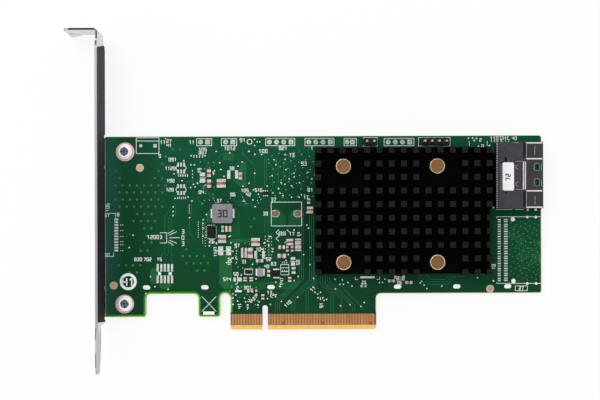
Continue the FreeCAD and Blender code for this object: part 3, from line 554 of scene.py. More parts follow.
dress("port_tails", tail_finish())
dress("port_label", finish("label_paper", "#f4f3f8", "#fefeff", 1500, 0.6, specular=0.2))
header_plastic = finish("header_plastic", "#161718", "#202123", 1200, 0.5, specular=0.2)
header_gold = finish("header_gold", "#a39577", "#dcd3bf", 1500, 0.34, metallic=0.4)
for size in ("two", "four"):
    dress("header_block_" + size, header_plastic)
    dress("header_pins_" + size, header_gold)
dress("power_inductor", finish("inductor_lavender", "#7d7d82", "#8e8d94", 700, 0.55, specular=0.15))
dress("small_inductor", finish("small_inductor_lavender", "#8c8791", "#a19ca6", 900, 0.5,
                               specular=0.2))
dress("inductor_feet", tin)
epoxy = finish("chip_epoxy", "#1b1c19", "#272824", 1600, 0.6, specular=0.05)
for chips in ("regulator_chip", "leaded_chips"):
    dress(chips, epoxy)
dress("chip_leads", tin)
dress("capacitor_bodies", finish("capacitor_ceramic", "#6a4540", "#ab887e", 260, 0.5, specular=0.2))
dress("resistor_bodies", finish("resistor_glaze", "#473c39", "#685751", 400, 0.4, specular=0.3))
dress("chip_ends", end_tin)
print("finishes:", len(bpy.data.materials))

# %% [markdown]
# ## Thin pieces from outlines
# Copper, solder lands and white print are all flat shapes a few hundredths of a millimetre
# thick. Each is an outline, raised into a closed prism. Whole tables of outlines are worked
# out at once: an array of shape (how many, corners, 2) is stacked at two heights, and the
# faces are the same numbers shifted by one corner.

# %% Prisms, rings and the piece that holds them


def circle(sides, start=0.0, power=1.0):
    """Points round a unit circle, the first of them this share of a step on. A power under
    one brings sine and cosine nearer to one, which squares the circle off."""
    angle = (np.arange(sides) + start) * 2 * math.pi / sides
    points = np.stack([np.cos(angle), np.sin(angle)], -1)
    return np.sign(points) * np.abs(points) ** power


def walls(lower, upper):
    """Faces between two rings: each point, the next one round, and the two over them."""
    corners = [lower, np.roll(lower, -1, -1), np.roll(upper, -1, -1), upper]
    return np.stack(corners, -1).reshape(-1, 4)


def prisms(outlines, low, high):
    """Closed upright prisms: each outline at two heights, walls between neighbouring corners,
    the outline itself as the top and reversed as the bottom."""
    outlines = np.asarray(outlines, float)
    count, sides = outlines.shape[:2]
    points = np.empty((count, 2, sides, 3))
    points[..., :2] = outlines[:, None]
    points[..., 2] = np.array([low, high])[:, None]
    index = np.arange(count * 2 * sides).reshape(count, 2, sides)
    bottom, top = index[:, 0], index[:, 1]
    return points.reshape(-1, 3), [walls(bottom, top), top, bottom[:, ::-1]]


def turned(places, radii, heights, sides):
    """A closed profile carried round each place: every (radius, height) becomes a circle, and
    each circle joins the next, the last to the first."""
    places = np.asarray(places, float)
    radii = np.broadcast_to(radii, (len(places), len(heights)))
    points = np.empty((*radii.shape, sides, 3))
    points[..., :2] = places[:, None, None] + radii[:, :, None, None] * circle(sides)
    points[..., 2] = np.array(heights)[:, None]
    index = np.arange(radii.size * sides).reshape(*radii.shape, sides)
    return points.reshape(-1, 3), [walls(index, np.roll(index, -1, 1))]


def washers(table, low, high, sides=20):
    """Rows of (u, v, inner radius, outer radius) as flat rings, closed all round."""
    table = np.asarray(table, float)
    return turned(table[:, :2], table[:, [2, 3, 3, 2]], (low, low, high, high), sides)


def plates(table, top, low=0.0):
    """Rows of (u, v, length, width) as thin plates: the middle and half of each side, signed."""
    table = np.asarray(table, float)
    signs = np.array([(-1, -1), (1, -1), (1, 1), (-1, 1)]) / 2
    return [prisms(table[:, None, :2] + signs * table[:, None, 2:4], low, top)]


def discs(table, top, sides):
    """Rows of (u, v, radius) as thin discs: the middle plus the radius times a unit circle."""
    table = np.asarray(table, float)
    return [prisms(table[:, None, :2] + table[:, None, 2:3] * circle(sides, 0.5), 0.0, top)]


def ribbon(path, width):
    """The outline of a line with width: each point steps left and right along its mitre, the
    sum of the two neighbouring normals scaled so that the width stays even."""
    path = np.asarray(path, float)
    steps = np.diff(path, axis=0)
    steps /= np.linalg.norm(steps, axis=1)[:, None]
    normals = np.stack([-steps[:, 1], steps[:, 0]], -1)
    before = np.vstack([normals[:1], normals])
    after = np.vstack([normals, normals[-1:]])
    mitre = (before + after) / (1 + (before * after).sum(1))[:, None]
    return np.vstack([path - mitre * width / 2, (path + mitre * width / 2)[::-1]])


def beside(path, offset):
    """The same path moved sideways: each point along the mitre of its two neighbours."""
    wide = ribbon(path, 2 * abs(offset))
    half = len(wide) // 2
    return wide[:half] if offset < 0 else wide[half:][::-1]


def lines(paths, width, low, high):
    """Each path as its own raised ribbon."""
    return [prisms(ribbon(path, width)[None], low, high) for path in paths]


def added(name, data):
    """A new object with this data, linked into the scene."""
    made = bpy.data.objects.new(name, data)
    bpy.context.scene.collection.objects.link(made)
    return made


def piece(name, parts, material):
    """One object made of many closed shapes, which rides on the card."""
    starts = np.cumsum([0] + [len(points) for points, _ in parts])
    faces = []
    for start, (_, groups) in zip(starts, parts):
        for group in groups:
            faces += (group + start).tolist()
    mesh = bpy.data.meshes.new(name)
    mesh.from_pydata(in_frame(np.vstack([points for points, _ in parts])).tolist(), [], faces)
    mesh.materials.append(material)
    made = added(name, mesh)
    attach(made, "root")
    print(name, "faces:", len(faces))


# %% [markdown]
# ## The glowing rim
# Light that enters the laminate leaves it again at the routed edge, so the board seems to have a
# bright yellow-green rim. That light is painted on the face: along the lower edge as two narrow
# ribbons just inside the outline, the inner one greener, and along the other edges as one faint
# ribbon. The routing tool is round, so every corner of the path is an arc.

# %% Rim ribbons
OUTER_ROUND, INNER_ROUND = 0.9, 1.6


def rounded(path, steps=5):
    """Each inner corner becomes a quarter circle. With the directions in and out of the
    corner, the centre is the corner plus radius times (out - in), and a point at an angle is
    the centre plus radius times (in * sine - out * cosine)."""
    path = np.asarray(path, float)
    ways = np.diff(path, axis=0)
    ways /= np.linalg.norm(ways, axis=1)[:, None]
    angle = (np.linspace(0, 1, steps) * math.pi / 2)[:, None]
    points = [path[:1]]
    for corner, way_in, way_out in zip(path[1:-1], ways[:-1], ways[1:]):
        turns_left = way_in[0] * way_out[1] - way_in[1] * way_out[0] > 0
        radius = OUTER_ROUND if turns_left else INNER_ROUND
        centre = corner + radius * (way_out - way_in)
        points.append(centre + radius * (way_in * np.sin(angle) - way_out * np.cos(angle)))
    return np.vstack(points + [path[-1:]])


LOWER_EDGES = [[(0, 7.0), (0, 4.6), (14.66, 4.6), (14.66, 12.75), (33.34, 12.75), (33.34, 4.6),
                (41.1, 4.6), (41.1, 12.95), (44.75, 12.95), (44.75, 6.2)]]
FAR_EDGES = [[(96.7, 6.2), (96.7, 12.75), (BOARD_LENGTH, 12.75), (BOARD_LENGTH, 42.4)]]
LEFT_EDGE = [[(0, BOARD_WIDTH - 1.2), (0, 6.2)]]
TOP_EDGE = [[(BOARD_LENGTH - 1.2, BOARD_WIDTH), (1.2, BOARD_WIDTH)]]
RIM_TOP = 0.006


def rim(paths, inset, width):
    """Ribbons along the board's edges: the path of the edge, rounded, then moved inwards by
    the inset and half the width."""
    moved = [beside(rounded(path), inset + width / 2) for path in paths]
    return lines(moved, width, 0.0, RIM_TOP)


BRIGHT_WIDTH, GREEN_WIDTH, TOP_WIDTH, FAR_WIDTH = 0.34, 0.55, 0.18, 0.24
LEFT_INSET, LEFT_WIDTH = 0.2, 0.22
green_parts = rim(LOWER_EDGES, BRIGHT_WIDTH, GREEN_WIDTH) + rim(TOP_EDGE, 0.0, TOP_WIDTH)
# The ribbons' colours are painted light: the glow that leaves the routed edge, drawn on the face.
for name, shade, dark, light, parts in (
        ("rim_bright", "bright", "#9fba38", "#b4cd50", rim(LOWER_EDGES, 0.0, BRIGHT_WIDTH)),
        ("rim_green", "green", "#297a34", "#35883c", green_parts),
        ("rim_left", "pale", "#8da08f", "#a5b3a5", rim(LEFT_EDGE, LEFT_INSET, LEFT_WIDTH)),
        ("rim_far", "yellow", "#b3ac66", "#cdc684", rim(FAR_EDGES, 0.0, FAR_WIDTH))):
    resin = finish("rim_painted_glow_" + shade, dark, light, 900, 0.6, specular=0.03)
    piece(name, parts, resin)

# %% [markdown]
# ## Copper under the mask
# Where copper lies under solder mask, the green is lighter and a little raised. The wide areas
# are called pours. They carry power, so they have cut corners and odd shapes.

# %% Copper pours
POUR_TOP = 0.012
POURS = (
    [(211, 208), (206.4, 213), (206.4, 222), (211, 222)],
    [(231, 238.6), (251, 238.6), (251, 242.6), (229.6, 242.6), (227.6, 244.4), (227.6, 241.6)],
    [(219.3, 254), (231.9, 254), (231.9, 279), (233.6, 281.4), (233.6, 289), (224.4, 289),
     (219.3, 283.8)],
    [(223, 160.7), (234, 160.7), (234, 155), (232, 152.4), (226, 152.4), (223, 156)],
    [(246.3, 162), (246.3, 187.6), (241, 187), (232.6, 180.6), (238.5, 180.6), (238.5, 169),
     (241, 163.4), (243, 161.8)],
    [(150.2, 270), (152, 267.6), (157, 267.6), (157, 283.6), (152.6, 283.6), (150.2, 281)],
    [(159.4, 283.6), (170.8, 283.6), (170.8, 286), (168.8, 288.8), (161.6, 288.8), (159.4, 286)],
    [(205.6, 166.6), (209.4, 166.6), (209.4, 172.8), (205.6, 172.8)],
)
FAINT_POURS = (
    [(232.6, 206.6), (235.2, 207.6), (240, 214), (240, 237.3), (229.4, 237.3), (229.4, 224.3),
     (232.6, 224.3)],
    [(271.8, 225.3), (285.7, 225.3), (285.7, 216), (280.4, 210.4), (271.8, 210.4)],
    [(288.5, 225.3), (301.3, 225.3), (301.3, 210.4), (292.9, 210.4), (288.5, 215.7)],
    [(233.8, 281.4), (294, 281.4), (302.6, 279.8), (294.4, 289), (276, 289), (276, 284.2),
     (265.4, 284.2), (265.4, 289), (233.8, 289)],
    [(236, 173), (238.4, 170), (238.4, 180.4), (234, 180.4)],
)


def areas(pours):
    """Each polygon, read clockwise down the photograph, as a thin slab."""
    parts = []
    for corners in pours:
        outline = on_board(corners)
        ahead = np.roll(outline, -1, 0)
        turn = np.sum(outline[:, 0] * ahead[:, 1] - ahead[:, 0] * outline[:, 1])
        parts.append(prisms(outline[::int(np.sign(turn))][None], 0.0, POUR_TOP))
    return parts


def masked(name, dark, light, patches=350):
    """The finish of solder mask over copper, in two near greens."""
    return finish(name, dark, light, patches, 0.45, specular=0.03)


copper_green = masked("mask_over_copper", "#215f36", "#29673e")
piece("copper_pours", areas(POURS), copper_green)
piece("inner_copper_pours", areas(FAINT_POURS),
      masked("mask_over_inner_copper", "#185531", "#1f5b37"))

# %% [markdown]
# ## Traces
# A trace is a narrow line of copper under the mask, laid at right angles and at 45 degrees.
# Fast signals run in buses: many traces side by side at an even pitch. One path is written
# for a bus, and its neighbours are the same path moved sideways along its mitres.

# %% Single traces and buses
TRACE_TOP, TRACE_WIDTH, TRACE_TO_EDGE = 0.018, 0.14, 0.4


def bus(path, offsets):
    """A path in pixels and its neighbours at these distances in board millimetres, none of
    them nearer to the board's far end than a trace may go."""
    limit = [BOARD_LENGTH - TRACE_TO_EDGE, BOARD_WIDTH - TRACE_TO_EDGE]
    return [np.minimum(beside(on_board(path), offset), limit) for offset in offsets]


SINGLE_TRACES = (
    [(173, 207), (164.6, 216.4), (164.6, 252), (158, 259)],
    [(173, 211.6), (168.6, 217), (168.6, 252.6), (163.4, 259)],
    [(173.4, 203.4), (175.6, 205.6), (175.6, 213), (171.6, 218), (171.6, 262)],
    [(189.5, 217.5), (189.5, 233), (195, 239)],
    [(189.5, 200), (191.6, 203), (191.6, 215), (189.5, 217.5)],
    [(197.6, 194), (197.6, 199), (202, 204)], [(186.4, 182), (192.6, 182), (192.6, 179)],
    [(214.6, 166), (214.6, 162), (227, 149.6)], [(202.4, 159), (205.6, 161.8)],
    [(242.6, 146), (242.6, 154), (254.6, 166), (254.6, 187)],
    [(235, 166), (238, 163), (242, 162)], [(237, 205.4), (250, 205.4), (254, 207.8)],
    [(236, 201.8), (247, 201.8)], [(242, 203.6), (250.6, 203.6), (255, 206.6)],
    [(264.6, 156), (264.6, 184.6), (267, 187)], [(266.4, 156), (266.4, 181)],
    [(264.6, 212), (264.6, 232)], [(268, 212), (268, 240)],
    [(296.4, 146.4), (299.6, 150), (299.6, 153)], [(308.4, 146.6), (308.4, 153)],
    [(281, 160), (278.4, 163), (278.4, 183)], [(286.4, 162), (283.6, 165), (283.6, 181)],
    [(289.6, 168), (289.6, 184)], [(301.6, 184), (301.6, 190)],
    [(276, 170), (272.4, 174), (272.4, 186)], [(126, 237), (130, 233)],
    [(122.6, 244.6), (126, 244.6)], [(205, 238), (205, 224), (208, 221)],
    [(510, 232), (516, 226)], [(506, 240), (514, 232)], [(236, 291), (262, 291)],
    [(240, 294.6), (256, 294.6)], [(274, 294.6), (283, 294.6), (285, 293)],
    [(245.6, 191), (240, 196.4)], [(449, 276), (464, 276), (475, 265)],
)
BUSES = (
    ([(195, 181), (218, 204)], (0, 0.55)),
    ([(303.4, 213), (303.4, 278.6), (279.6, 302.4), (279.6, 311)], (0, -0.7, -1.4)),
    ([(309.6, 214), (309.6, 279.6), (291, 298.2), (291, 311)], (0, 0.7, 1.4)),
    ([(314.4, 262), (314.4, 282), (306, 290.4), (306, 311)], (0, 0.8)),
    ([(320.4, 276), (320.4, 283), (331, 293.6), (331, 311)], (0, 0.8)),
    ([(325.2, 276), (325.2, 282.6), (341.4, 298.8), (341.4, 311)], (0,)),
    ([(327.4, 276), (327.4, 281.4), (352.6, 306.6), (352.6, 311)], (0, 0.8)),
    ([(338, 285.4), (340.6, 285.4), (363.2, 308), (363.2, 311)], (0,)),
    ([(418, 275.6), (424, 275.6), (430, 281.6), (447, 281.6), (454.4, 274.2)], (0, -0.9, 0.9)),
    ([(521, 262), (527, 256), (533, 256), (540, 263)], (0, 0.7, 1.4, 2.1, 2.8)),
    ([(515, 250), (523, 242), (536, 242), (541, 247)], (0, 0.7)),
    ([(517, 232), (525, 240), (541, 240)], (0,)),
    ([(506, 236), (512, 236), (525, 249)], (0, 0.7)),
    ([(521, 268), (528, 268), (535, 261), (535, 254)], (0, 0.8)),
)
traces = [on_board(path) for path in SINGLE_TRACES]
for path, offsets in BUSES:
    traces += bus(path, offsets)
piece("traces", lines(traces, TRACE_WIDTH, 0.0, TRACE_TOP),
      masked("mask_over_trace", "#2b6f48", "#388058", 500))

# %% [markdown]
# ## Vias
# A via is a drilled and plated hole that joins copper layers. Most are tented: the mask covers
# them and leaves a faint paler spot. Here they stitch the ground layers together in rows with
# every second row moved by half a pitch. Others are left bare as test points, and show as
# small bright rings.

# %% Tented vias in stitched rows
VIA_PITCH, VIA_RADIUS, VIA_TOP = 7.15, 0.55, 0.02
VIA_ROWS = (
    (115.4, 185.6, 8), (119.4, 192.4, 7), (115.4, 199.6, 7), (119.4, 206.6, 7), (137, 214, 3),
    (133.5, 221.1, 4), (144.1, 228.3, 2), (144.1, 242.3, 2), (140.4, 250.5, 2), (118.6, 265.1, 4),
    (129.6, 272.3, 2), (182.5, 256, 4), (186.4, 263.1, 4), (197.2, 270.3, 2), (172.7, 149.6, 2),
    (154.7, 178.3, 2),
)
LONE_VIAS = (
    (115.4, 171), (158.5, 171), (119.4, 178.3), (162, 164), (165.6, 156.6), (186.2, 249.1),
    (147, 235.6), (254.2, 218.6), (250.8, 226.4), (243, 201),
)
rows = [[(x + step * VIA_PITCH, y) for step in range(count)] for x, y, count in VIA_ROWS]
tented = on_board(np.vstack(rows + [LONE_VIAS]))
via_table = sized(tented, VIA_RADIUS)
tented_green = finish("mask_over_via", "#326a4c", "#44805e", 1500, 0.5, specular=0.03)
piece("tented_vias", discs(via_table, VIA_TOP, 4), tented_green)

# %% Fine vias in crowded places
FINE_FIELDS = ((268, 150, 52, 48, 56), (234, 240, 30, 28, 30), (229, 284, 34, 24, 24),
               (199, 157, 18, 44, 20), (212, 196, 60, 8, 14))
FINE_VIA_RADIUS = 0.13
GOLDEN = np.array([0.7548777, 0.5698403])


def scattered(x, y, width, height, count):
    """Places spread evenly but without rows: the k-th is the fraction left over from k times
    two irrational numbers, so the same places come every time."""
    left_over = np.modf(np.arange(1, count + 1)[:, None] * GOLDEN)[0]
    return np.array([x, y]) + left_over * [width, height]


fine = on_board(np.vstack([scattered(*field) for field in FINE_FIELDS]))
piece("fine_vias", discs(sized(fine, FINE_VIA_RADIUS), VIA_TOP, 6), via_tin)

# %% Small vias of the spare port
PORT_FIELD = (509.5, 220.0, 31.5, 61.0, 84)
PORT_VIA_RADIUS = 0.11
port_vias = sized(on_board(scattered(*PORT_FIELD)), PORT_VIA_RADIUS)
piece("port_vias", discs(port_vias, VIA_TOP, 6),
      finish("via_spot", "#8fc0a3", "#c4e3cf", 1500, 0.5, specular=0.03))

# %% Shadowed strip beside the port
# A near-black sheet of painted shadow on the board between the heat sink and the port.
STRIP, STRIP_TOP = (493.0, 181.0, 8.2, 56.0), 0.004
piece("shadow_strip", plates(sized_on_board([STRIP]), STRIP_TOP),
      finish("strip_painted_shadow", "#020403", "#060907", 900, 0.6, specular=0.02))

# %% Bare vias and test points
BARE_VIAS = (
    (274.1, 159.9), (276, 164.8), (284.9, 154.8), (285.1, 159.6), (285.9, 169.8), (293.9, 173.3),
    (294.1, 177.2), (289.2, 179), (272.1, 175.9), (281.1, 182.8), (284.9, 184.4), (291.6, 186),
    (299.6, 182.8), (308.1, 172.5), (311.7, 179), (278.6, 188.9), (280, 193.1), (282.9, 195.6),
    (272.9, 192.9), (249, 183.4), (243, 186.4), (243.9, 201.1), (252.8, 200), (255.1, 206.7),
    (267.1, 186.2), (254.7, 173.4), (242.1, 162.2), (238, 166.3), (229.7, 153.1), (219.7, 162.9),
    (216.1, 151.6), (220.8, 169.6), (224, 176.5), (214.5, 170.7), (204.7, 180.8), (202.1, 203.8),
    (206.3, 214.5), (203.1, 219.7), (301.4, 195), (299.1, 197.1), (306.8, 224.9), (308.4, 228.1),
    (310.4, 247.5), (303.6, 254.4), (309.9, 264.4), (298.1, 276.2), (294.1, 280.3),
    (275.9, 281.9), (279.7, 285.9), (230.9, 242.8), (230.1, 235.7), (297.7, 296.9), (173, 207),
    (173, 211.5), (173, 215.5), (189.5, 217.5), (191.9, 201), (202, 204), (133, 235),
    (129, 247.5), (191, 156), (205, 156), (190.8, 165), (194.4, 165), (174, 174), (175, 198.4),
    (188, 197), (190.6, 187.6), (195, 187), (193.4, 184.4), (182, 180.8), (183.8, 161),
    (313.6, 278.1), (315, 292), (320.5, 292), (317.7, 293.7), (323, 297.5), (324, 300),
    (326.8, 299), (335, 279), (342.4, 279.7), (340, 284), (343.5, 284), (348, 282.3),
    (352, 285.7), (364.3, 302.3), (340.5, 305.4), (350, 304.3), (361, 306), (335.4, 288.6),
    (318, 297.4), (379.5, 282.4), (382.4, 282), (385, 279), (421.8, 281), (420.4, 282.6),
    (424.2, 284.8), (427, 288.2), (477.6, 277.5), (442, 285.8), (233, 293.6), (233, 304),
    (248, 304.6), (258, 304.6), (270.4, 304), (245.6, 301.6), (259, 301.4), (236, 283.8),
    (241.2, 274.8), (256, 278.6), (276, 294.4), (264.6, 242.6), (263, 249), (307, 212.4),
    (271, 236.4), (150.4, 276.4), (154.8, 286.4), (168, 289), (144.6, 288), (203, 223.4),
    (203.4, 228), (203, 236), (212.4, 243), (216.4, 243.6), (229, 236.6), (232.8, 251.2),
    (232.4, 257.8),
)
VIA_HOLE, VIA_EDGE, RING_TOP, HOLE_TOP = 0.05, 0.25, 0.03, 0.022
bare = on_board(BARE_VIAS)
bare_rings = [washers(sized(bare, VIA_HOLE, VIA_EDGE), 0.0, RING_TOP, 12)]
# Dark discs of painted shade where the bare vias' holes are.
shadow_black = finish("hole_shadow", "#0b1510", "#152019", 1500, 0.8, specular=0.1)
piece("bare_via_rings", bare_rings, via_tin)
piece("bare_via_holes", discs(sized(bare, VIA_HOLE), HOLE_TOP, 8), shadow_black)

# %% [markdown]
# ## Solder lands
# Bare copper that takes solder is tinned and bright. This card leaves several parts off: a
# second port, a side connector, two six-lead parts, a service header, an inductor and a few
# two-ended chips. Their lands are what is left. Rows of equal lands are an even count between
# two ends, so a table of rows is enough.

# %% Lands of the parts left off
LAND_TOP = 0.04


def lands(rows):
    """Rows of (start, end, how many, width, height) in pixels as plates, evenly spaced from
    one place to the other."""
    tables = []
    for start, end, count, width, height in rows:
        share = np.linspace(0, 1, count)[:, None]
        places = np.array(start) * (1 - share) + np.array(end) * share
        tables.append(sized_on_board(sized(places, width, height)))
    return plates(np.vstack(tables), LAND_TOP)


LAND_ROWS = (
    ((116.1, 219.4), (116.1, 250.3), 12, 3.9, 1.75), ((178, 164.8), (184, 164.8), 3, 1.7, 4),
    ((178, 171.7), (184, 171.7), 3, 1.7, 4), ((178, 186.3), (184, 186.3), 3, 1.7, 3.8),
    ((178, 193.1), (184, 193.1), 3, 1.7, 3.8), ((157.6, 267.6), (171.9, 267.6), 5, 2.1, 7.8),
    ((157.6, 279.1), (171.9, 279.1), 5, 2.1, 7.8), ((279.2, 233.4), (285.2, 233.4), 4, 1.1, 4.2),
    ((282.4, 262.4), (286.6, 262.4), 3, 1, 1.6), ((282.4, 270.8), (286.6, 270.8), 3, 1, 1.6),
)
PAIRED_LANDS = (
    (220.6, 248.4, 5, 4.4), (220.6, 253.2, 5, 3.6), (228.5, 248.4, 5, 4.4),
    (228.5, 253.2, 5, 3.6), (234.6, 279.2, 2.6, 4), (239.8, 279.2, 3.6, 4), (293, 258.4, 4.4, 3),
    (293, 263.8, 4, 3.6), (255.6, 254.6, 2.6, 7.6), (263.4, 254.6, 2.6, 7.6),
    (228.7, 174.7, 3.1, 8.4), (236.6, 174.5, 3.1, 8.4), (202.4, 174.6, 5.2, 3.6),
    (202.4, 180.8, 5.2, 4), (308.8, 201.4, 3, 5.2), (213.4, 173, 1.6, 3),
    (145.8, 293.2, 1.4, 1.4), (395.2, 277, 2.4, 3), (403.8, 276.6, 2.4, 3.4),
)
PORT_LAND_ROWS = (
    ((499.4, 219.6), (499.4, 280.3), 37, 3, 0.9), ((506, 219.6), (506, 280.3), 37, 3.6, 0.9),
)
DASH_ROWS = (
    ((178.5, 175.6), (187.4, 175.6), 6, 0.6, 2.4), ((177.5, 198), (185.5, 198), 5, 0.6, 2.2),
    ((193.8, 156.5), (202.5, 156.5), 4, 0.7, 2.8), ((192.4, 171), (192.4, 177.6), 3, 0.6, 1.5),
    ((189.2, 205), (189.2, 213), 5, 0.9, 0.7), ((198.2, 222), (198.2, 237), 8, 0.7, 0.7),
    ((202.5, 223), (202.5, 243), 10, 0.7, 0.7), ((205.3, 232), (205.3, 246), 6, 0.7, 0.7),
    ((265.3, 236.4), (265.3, 258), 8, 0.8, 0.8), ((268.8, 236), (268.8, 257.6), 9, 0.8, 0.8),
    ((271.5, 238), (271.5, 258), 7, 0.7, 0.7), ((236.4, 247.6), (236.4, 262), 6, 0.8, 0.8),
    ((206.3, 227), (206.3, 237), 6, 0.9, 0.8), ((216.2, 227), (216.2, 237), 6, 0.9, 0.8),
    ((208, 225.3), (214.6, 225.3), 5, 0.7, 0.9), ((208, 238.6), (214.6, 238.6), 5, 0.7, 0.9),
)
STUB_LEVELS = (225, 230.5, 236.4, 241.6, 244.6, 250.4)
STUB_ROWS = [((120.5, level), (122.6, level), 2, 0.8, 0.8) for level in STUB_LEVELS]
BAND_PITCH = 0.879 * MILLIMETRE
BAND_START = float(in_frame((*on_board((499.4, 219.3)), 0.0))[1]) - BAND_PITCH / 4


def banded_tin():
    """Tin whose brightness rises and falls along the column: the sine of the place along it, one
    band to each pitch."""
    made, wire = material_of("banded_tin", 0.4, metallic=0.3)
    _, y, _ = wire.place()
    wave = (y - BAND_START).waves(BAND_PITCH) * 0.5 + 0.5
    grain = wire.noise(1800, 3.0)
    base = (wave * 0.85 + grain * 0.15).blend("#41705a", "#ffffff")
    return surface(made, base, 0.34 + grain * 0.12, grain, 6e-6)


bare_lands = lands(LAND_ROWS) + plates(sized_on_board(PAIRED_LANDS), LAND_TOP)
piece("port_lands", lands(PORT_LAND_ROWS), banded_tin())
piece("small_lands", lands([*DASH_ROWS, *STUB_ROWS]), via_tin)
piece("bare_lands", bare_lands, land_tin)

# %% [markdown]
# ## Spare inductor
# A place for a second large inductor has two wide oval lands. Old solder flux has left them
# brown in the middle, with a bright rim.

# %% Oval lands
OVALS = sized_on_board([(275.4, 213.6, 8.4, 7.3), (297.6, 213.6, 8.4, 7.3)])
OVAL_POWER, OVAL_INSET, OVAL_RISE = 0.8, 0.55, 0.006


def ovals(inset, top):
    """The two lands with their edges this much smaller: circles squared off a little."""
    halves = (OVALS[:, None, 2:] - inset) / 2
    return [prisms(OVALS[:, None, :2] + halves * circle(24, power=OVAL_POWER), 0.0, top)]


flux_brown = finish("fluxed_tin", "#5d4a45", "#857068", 700, 0.4, metallic=0.3)
oval_tin = finish("oval_tin", "#857d76", "#cfcac4", 700, 0.4, metallic=0.3)
piece("oval_land_rims", ovals(0.0, LAND_TOP), oval_tin)
piece("oval_land_faces", ovals(OVAL_INSET, LAND_TOP + OVAL_RISE), flux_brown)

# %% [markdown]
# ## Header holes and rings
# Empty headers along the top edge show their plated holes. The last pin of each has a square
# land, which tells a maker which pin is number one. Each land is a bright plate with a dark
# disc on it where the drilled hole is.

# %% Header lands
HOLE_LEVEL = 142.3
ROUND_XS = (200.5, 225.5, 269.3, 276.6, 283.7, 308.8, 315.8, 323.0, 347.2, 388.2, 395.4, 402.5)
SQUARE_XS = (207.7, 232.7, 291.0, 330.4, 352.6, 409.8)
SMALL_ROUND, SMALL_SQUARE = on_board([[(140.6, 146.0)], [(154.9, 146.0)]])
LAND_HOLE, LAND_EDGE, SMALL_EDGE, HOLE_RISE = 0.22, 0.86, 0.6, 0.006
round_lands, square_lands = (
    on_board([(x, HOLE_LEVEL) for x in xs]) for xs in (ROUND_XS, SQUARE_XS))
holes = sized(np.vstack([round_lands, square_lands]), LAND_HOLE)
header_lands = [washers(sized(round_lands, LAND_HOLE, LAND_EDGE), 0.0, LAND_TOP)]
header_lands += plates(sized(square_lands, 2 * LAND_EDGE, 2 * LAND_EDGE), LAND_TOP)
small_lands = discs(sized(SMALL_ROUND, SMALL_EDGE), LAND_TOP, 12)
small_lands += plates(sized(SMALL_SQUARE, 2 * SMALL_EDGE, 2 * SMALL_EDGE), LAND_TOP)
header_tin = finish("header_tin", "#8a958e", "#d9e0db", 1500, 0.42, metallic=0.3, bump=8e-6)
filled = finish("filled_hole", "#5f5a57", "#8a8480", 1800, 0.4, metallic=0.4)
piece("header_lands", header_lands + small_lands, header_tin)
piece("header_holes", discs(holes, LAND_TOP + HOLE_RISE, 10), filled)

# %% [markdown]
# ## Rings and marks in copper
# The bracket screws clamp on wide bare copper rings, which tie the card to the computer's
# metal case. Fiducials are small bare discs that the placing machine looks for: gold in the
# middle, a cleared ring of pale resin round it.

# %% Screw rings and fiducials
SCREW_RINGS = sized(on_board([(124.9, 152.1), (124.55, 303.7)]), 1.7, 3.32)
FIDUCIALS = on_board([(139.8, 168.0), (113.6, 285.2), (490.3, 288.4)])
CLEARED_RADIUS, CLEARED_TOP = 1.4, 0.024
GOLD_RADIUS, GOLD_TOP = 0.7, 0.034
rose_copper = finish("rose_copper", "#b9837a", "#d6a298", 900, 0.4, metallic=0.35)
resin_cream = finish("cleared_resin", "#bfb59c", "#d2c9ae", 900, 0.6, specular=0.1)
pale_rose = finish("pale_rose_copper", "#c39a91", "#e3c0b6", 900, 0.4, metallic=0.3)
piece("screw_rings", [washers(SCREW_RINGS, 0.0, RING_TOP, 48)], pale_rose)
piece("fiducial_rings", discs(sized(FIDUCIALS, CLEARED_RADIUS), CLEARED_TOP, 32),
      resin_cream)
piece("fiducial_dots", discs(sized(FIDUCIALS, GOLD_RADIUS), GOLD_TOP, 20),
      rose_copper)

# %% [markdown]
# ## White print
# White print shows where parts go and which way round. Printed lines are about 0.2 mm wide.
# Outlines are closed ribbons, and numbers are drawn by strokes, as an engraver does, each on
# a cell one unit wide and two high.

# %% Print lines and outlines
PRINT_TOP, DOT_TOP, LINE_TOP, NUMBER_TOP = 0.05, 0.048, 0.046, 0.042
PRINT_WIDTH, NUMBER_WIDTH, BOLD_WIDTH = 0.18, 0.2, 0.46
print_white = finish("print_white", "#e6f2eb", "#fdfffe", 2500, 0.65, specular=0.1, bump=2e-6)


def outline(x0, y0, x1, y1):
    """A closed frame between two pixel corners: a path round it that starts and ends half a
    line's width past the corner."""
    (u0, v0), (u1, v1) = on_board([(x0, y0), (x1, y1)])
    return [(u0 - PRINT_WIDTH / 2, v0), (u1, v0), (u1, v1), (u0, v1), (u0, v0)]


